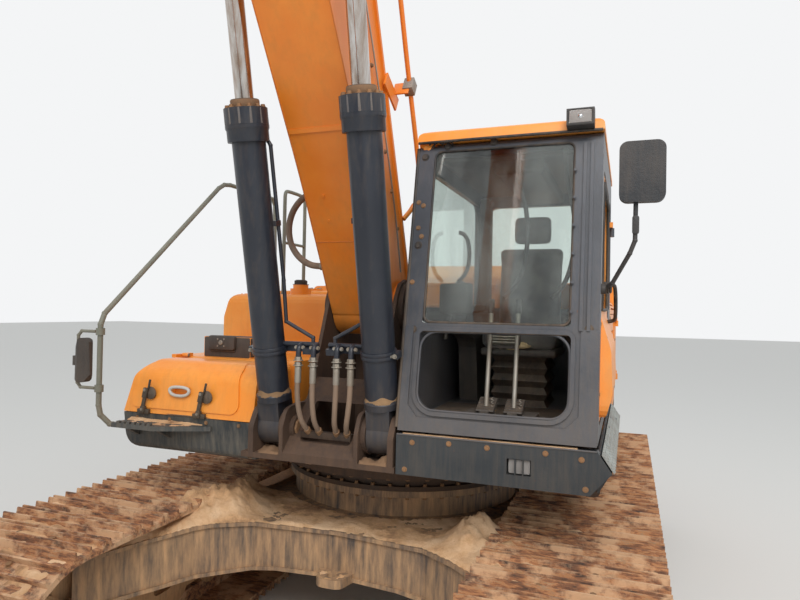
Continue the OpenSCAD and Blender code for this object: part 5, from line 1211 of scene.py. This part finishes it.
ring_mud = worn_finish("ring_mud", "#4D4E55", "#5C5B60", "#7C7061", low=1.5, high=4.0, most=0.5, least=0.3,
                       rough=0.8, grain=0.7)
collar_rust = worn_finish("collar_rust", "#5A4535", "#7B5A40", "#8A6E52", low=1.5, high=4.0, most=0.5,
                          least=0.35, rough=0.75, metal=0.2, grain=0.5)
foot_mud = worn_finish("foot_mud", "#6B5139", "#8C6D4E", "#A3835F", low=1.4, high=2.0, most=0.5, least=0.3,
                       rough=0.95, run=0.3, grain=1.0)
for side_name, centre in (("left", 345.0), ("right", -345.0)):
    body = "boom_barrel_" + side_name
    lobes = bmesh.new()
    for a, b in around(101, 12, math.radians(30), math.radians(15)):
        bmesh.ops.create_cone(lobes, cap_ends=True, segments=14, radius1=0.0185, radius2=0.0175, depth=0.088,
                              matrix=stood(on_lift(centre, 1783, a, b), lift_way))
    soften(lobes, 0.004, 2, [e for e in lobes.edges if len(e.link_faces) == 2
                             and e.calc_face_angle(0.0) > 1.0])
    noise.seed_set(9)
    for corner in lobes.verts:
        corner.co += 0.0015 * noise.noise_vector(corner.co * 60.0)
    piece("gland_lobes_" + side_name, lobes, ring_mud, body)
    spots = [on_lift(centre, 1828, a, b) for a, b in around(98, 12, math.radians(30), math.radians(15))]
    heads("gland_screws_" + side_name, spots, lift_way, 0.012, 0.016, bolt_finish, body)
    lathed("wiper_collar_" + side_name, [(52.5, 0), (77.5, 0), (78.5, 4), (78.5, 40), (74, 47), (52.5, 48)],
           on_lift(centre, 1827), lift_way, collar_rust, body, steps=48)
    lathed("gland_sleeve_" + side_name, [(112.6, 0), (113.6, 3), (113.6, 60), (117, 66), (119, 74), (119, 88),
                                         (114, 90)], on_lift(centre, 1650), lift_way, cylinder_enamel, body,
           steps=64)
    lathed("tube_band_" + side_name, [(99.3, 0), (100.8, 3), (100.8, 18), (99.8, 20), (99.8, 24), (100.8, 26),
                                      (100.8, 41), (99.3, 44)], on_lift(centre, 452), lift_way,
           cylinder_enamel, body, steps=64)
    heads("band_screws_" + side_name, [on_lift(centre, 474, (1 if centre > 0 else -1) * a, 38)
                                       for a in (84, 106)], Vector((0, -math.sin(lift_turn),
                                                                    -math.cos(lift_turn))), 0.010, 0.012,
          zinc_steel, body)
    crust = bmesh.new()
    bmesh.ops.create_cone(crust, cap_ends=False, segments=72, radius1=1.0, radius2=1.0, depth=1.0)
    bmesh.ops.subdivide_edges(crust, edges=[e for e in crust.edges if abs(e.verts[0].co.z
                                                                          - e.verts[1].co.z) > 0.5], cuts=11)
    for corner in crust.verts:
        turn = math.atan2(corner.co.y, corner.co.x)
        t = corner.co.z + 0.5
        lump = noise.fractal(Vector((2.2 * math.cos(turn), 2.2 * math.sin(turn), t * 2.0 + centre)), 0.6, 2.1,
                             6)
        high = 60.0 + 34.0 * noise.noise(Vector((1.3 * math.cos(turn), 1.3 * math.sin(turn), centre)))
        bulge = 5.5 * math.sin(math.pi * min(1.0, t * 1.15)) * (1.0 + lump)
        reach = 92.5 + bulge - 3.0 * (t > 0.98) - 3.0 * (t < 0.02)
        corner.co = on_lift(centre, 178.0 + high * t, reach * math.cos(turn), reach * math.sin(turn))
    piece("foot_crust_" + side_name, crust, foot_mud, body, smooth=180.0)


def chromed(name, start, way, painted_from):
    """Hard chrome drawn along a rod, with dark paint on its forged eye past this distance in metres."""
    made, tree, shader, place = start_finish(name)
    away = put(tree, "ShaderNodeVectorMath", {"operation": "SUBTRACT", 1: start}, {0: place})
    reach = put(tree, "ShaderNodeVectorMath", {"operation": "DOT_PRODUCT", 1: way}, {0: away.outputs[0]})
    eye = put(tree, "ShaderNodeMath", {"operation": "GREATER_THAN", 1: painted_from},
              {0: reach.outputs["Value"]})
    spread = put(tree, "ShaderNodeMapping", {"Scale": (22.0, 22.0, 1.6)}, {"Vector": place})
    film = put(tree, "ShaderNodeTexNoise", {"Scale": 1.5, "Detail": 8.0, "Roughness": 0.6},
               {"Vector": spread.outputs[0]})
    tint = put(tree, "ShaderNodeValToRGB", {"stops": ((0.35, "#C8C4BF"), (0.72, "#9A8472"))},
               {"Fac": film.outputs["Fac"]})
    colour = put(tree, "ShaderNodeMix", {"data_type": "RGBA", "B": paint("#30343B")},
                 {"Factor": eye.outputs[0], "A": tint.outputs["Color"]})
    tree.links.new(colour.outputs["Result"], shader.inputs["Base Color"])
    bright = put(tree, "ShaderNodeMath", {"operation": "SUBTRACT", 0: 1.0}, {1: eye.outputs[0]})
    tree.links.new(bright.outputs[0], shader.inputs["Metallic"])
    smooth_film = put(tree, "ShaderNodeMapRange", {"From Min": 0.35, "From Max": 0.75, "To Min": 0.1,
                                                   "To Max": 0.3}, {"Value": film.outputs["Fac"]})
    rough = put(tree, "ShaderNodeMath", {"operation": "MULTIPLY_ADD", 1: 0.4},
                {0: eye.outputs[0], 2: smooth_film.outputs[0]})
    tree.links.new(rough.outputs[0], shader.inputs["Roughness"])
    return made


lift_chrome = chromed("lift_rod_chrome", on_lift(0, 0), lift_way, 3.135)
give(lift_chrome, "boom_rod_left", "boom_rod_right")


# Hoses to the lifting cylinders
# Four pressure hoses of black rubber, 30 mm across, from crimped ends under the cylinders' bands to the
# deck's sloped opening. Nuts and sleeves are zinc-plated, elbows are painted.
# A thicker hose loops out of the boom's side at its foot.
def free_hose(name, knots, radius, body, far_body=None):
    """A free hose: a mesh tube along a smooth route, riding on a body, or left fixed in the frame when it runs
    to a far body.
    """
    route = smooth_path(knots)
    line = bpy.data.curves.new(name, "CURVE")
    line.dimensions = "3D"
    line.bevel_depth = radius
    line.bevel_resolution = 5
    line.use_fill_caps = True
    spline = line.splines.new("POLY")
    spline.points.add(len(route) - 1)
    for knot, spot in zip(spline.points, route):
        knot.co = (*spot, 1.0)
    bare = placed(name, line)
    shape = bpy.data.meshes.new_from_object(bare.evaluated_get(bpy.context.evaluated_depsgraph_get()))
    bpy.data.objects.remove(bare)
    shape.materials.clear()
    shape.materials.append(hose_rubber)
    shape.shade_smooth()
    made = placed(name, shape)
    if far_body:
        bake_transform(made)
    else:
        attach(made, body)
    return made


loop = [at(x, 1030, z) for x, z in ((-214, 2936), (-250, 2936), (-311, 2928), (-367, 2903), (-416, 2864),
                                    (-454, 2813), (-477, 2754), (-485, 2690), (-477, 2627), (-454, 2568),
                                    (-416, 2517), (-367, 2478), (-311, 2453), (-250, 2445), (-214, 2445))]
free_hose("boom_foot_hose", loop, 0.021, "boom")
for name, spot in (("upper", loop[0]), ("lower", loop[-1])):
    lathed("boom_foot_nut_" + name, [(0, 34), (22, 34), (26, 30), (26, 6), (31, 4), (31, 0)], spot,
           (-1, 0, 0), zinc_steel, "boom", steps=24)
block_piece("hose_manifold", (0.318, 0.044, 0.039), at(10, 1402.5, 1445), ring_steel, "house", 0.003, 2)
hose_columns = (("outer_right", -135.0), ("inner_right", -40.0), ("inner_left", 106.0), ("outer_left", 192.0))
for k, (name, x) in enumerate(hose_columns):
    body = "boom_barrel_right" if x < 0.0 else "boom_barrel_left"
    knots = [at(x, 1492, 1816), at(x, 1496, 1700), at(x * 0.94, 1490, 1600), at(x * 0.84, 1466, 1520),
             at(x * 0.72, 1400, 1446)]
    hose = free_hose("hose_" + name, knots, 0.015, body, "house")
    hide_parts("front_hoses")
    lathed("crimp_" + name, [(15.5, -4), (18, -2), (19, 4), (18.4, 20), (19, 36), (18.4, 52), (19, 68),
                             (19, 92), (16, 96)], at(x, 1492, 1752), (0, 0.01, 1), zinc_steel, body)
    heads("crimp_nut_" + name, [at(x, 1491, 1846), at(x, 1491, 1874)], (0, 0.01, 1), 0.0215, 0.022,
          zinc_steel, body)
    bent_tube("elbow_" + name, [at(x, 1491, 1888), at(x, 1490, 1930), at(x, 1479, 1958), at(x, 1446, 1964)],
              0.0155, cylinder_enamel, body)
    heads("flange_bolts_" + name, [at(x + dx, 1478, 1948) for dx in (-22, 22)], (0, -1, 0), 0.009, 0.010,
          zinc_steel, body)
    lathed("hose_end_" + name, [(15.5, -2), (19.5, 2), (18.5, 12), (19.5, 22), (19.5, 40), (13, 44)],
           at(x * 0.73, 1404, 1450), at(x * 0.84, 1466, 1520) - at(x * 0.72, 1400, 1446), bolt_finish,
           "house")
for side_name, way in (("left", 1.0), ("right", -1.0)):
    bent_tube("cross_pipe_" + side_name, [at(way * 258, 1448, 1966), at(way * 180, 1446, 1966),
                                          at(way * 36, 1446, 1966)], 0.0145, cylinder_enamel,
              "boom_barrel_" + side_name)


# Arm cylinder and bucket cylinder
# The same blue-grey tubes and chrome rods as the lifting cylinders, one on the boom's back, one on the arm.
# Ring bolts hold each gland.
for name, foot, rod_end, tube_end, radius, eye in (("arm", at(0, 2559.1, 5760.4), at(0, 5838.3, 7429.1),
                                                    2000.0, 95.0, 0.165),
                                                   ("bucket", at(0, 6158.3, 6199.1), at(0, 6254.7, 3621.8),
                                                    1560.0, 80.0, 0.145)):
    way = (rod_end - foot).normalized()
    side_way = Vector((1.0, 0.0, 0.0))
    off_way = side_way.cross(way)
    spots = [foot + way * (tube_end - 31.0) / 1000.0 + (side_way * a + off_way * b) / 1000.0 for a,
             b in around(radius + 4.0, 12, math.radians(30))]
    heads(name + "_gland_screws", spots, way, 0.0105, 0.014, bolt_finish, name + "_barrel")
    rod_chrome = chromed(name + "_rod_chrome", foot, way, (rod_end - foot).length - eye)
    give(rod_chrome, name + "_rod")
    lathed(name + "_wiper", [(radius * 0.56, 0), (radius * 0.83, 0), (radius * 0.84, 4), (radius * 0.84, 16),
                             (radius * 0.78, 22), (radius * 0.56, 23)],
           foot + way * (tube_end - 2.0) / 1000.0, way, collar_rust, name + "_barrel", steps=48)


# Arm, rocker and link
# Welded box arm and cast steel linkage, in the boom's deeper orange, which carries its painted shade; pins are
# kept by bolted flags.
# Mud has dried low on the linkage.
give(boom_orange_painted_shade, "arm", "rocker", "link")


def on_arm(x, along, off):
    """A point of the arm: across, along it from the boom's tip, and off its line away from the machine."""
    return at(x, 5538.3 + off, 6479.1 - along)


for side_name, way in (("left", 1.0), ("right", -1.0)):
    for k, (s, t, reach) in enumerate(((0, 0, 62), (-950, 300, 70), (2720, 30, 66), (3200, 0, 72))):
        ring = [on_arm(way * (223 if k == 2 else 180), s + a, t + b) for a, b in around(reach, 4, 1.571, 0.4)]
        heads("arm_pin_screws_%s_%d" % (side_name, k), ring, (way, 0, 0), 0.013, 0.012, bolt_finish,
              "rocker" if k == 2 else "arm")
    pipe = [on_arm(way * 184, s, t) for s, t in ((-300, 380), (200, 430), (900, 330), (1700, 170),
                                                 (2400, 60))]
    bent_tube("arm_grease_pipe_" + side_name, pipe, 0.005, zinc_steel, "arm")
for side_name, x in (("left", 96.0), ("right", -96.0)):
    line = [on_arm(x, s, t) for s, t in ((-700, 512), (-200, 520), (300, 510), (620, 462))]
    bent_tube("arm_pipe_" + side_name, line, 0.014, boom_orange_painted_shade, "arm")


# Bucket
# A rolled shell of thick plate with side cutters and five cast teeth, worn to brown bare steel.
# Earth sticks in its corners; each tooth cap is kept by a pin.
bucket_steel = worn_finish("bucket_steel", "#4B3D33", "#7A5539", "#94785B", low=0.2, high=3.2, most=0.6,
                           least=0.3, rough=0.5, metal=0.45, chip="#9B9389", chips=0.03, grain=0.5)
give(bucket_steel, "bucket")
bucket_turn = math.radians(-90.0 + 60.0 - 118.0)


def on_bucket(x, p, q):
    """A point of the bucket: across, from the arm pin towards the teeth, and towards its back."""
    forward = 5538.3 + p * math.cos(bucket_turn) - q * math.sin(bucket_turn)
    height = 3279.1 + p * math.sin(bucket_turn) + q * math.cos(bucket_turn)
    return at(x, forward, height)


for k in range(-2, 3):
    x = k * 330.0
    for way in (1.0, -1.0):
        lathed("tooth_pin_%d_%s" % (k + 2, "left" if way > 0 else "right"),
               [(0, 7), (10, 7), (13, 3), (13, 0)], on_bucket(x + way * 45.0, 1462, 10), (way, 0, 0),
               bolt_finish, "bucket")
spots = [on_bucket(way * 767, p, q) for way in (1, -1) for p, q in ((520, 120), (760, 100), (1000, 78),
                                                                    (1240, 60))]
heads("side_cutter_bolts", spots, [Vector((1, 0, 0))] * 4 + [Vector((-1, 0, 0))] * 4, 0.022, 0.018,
      bolt_finish, "bucket")

bpy.context.scene.view_settings.view_transform = "Standard"
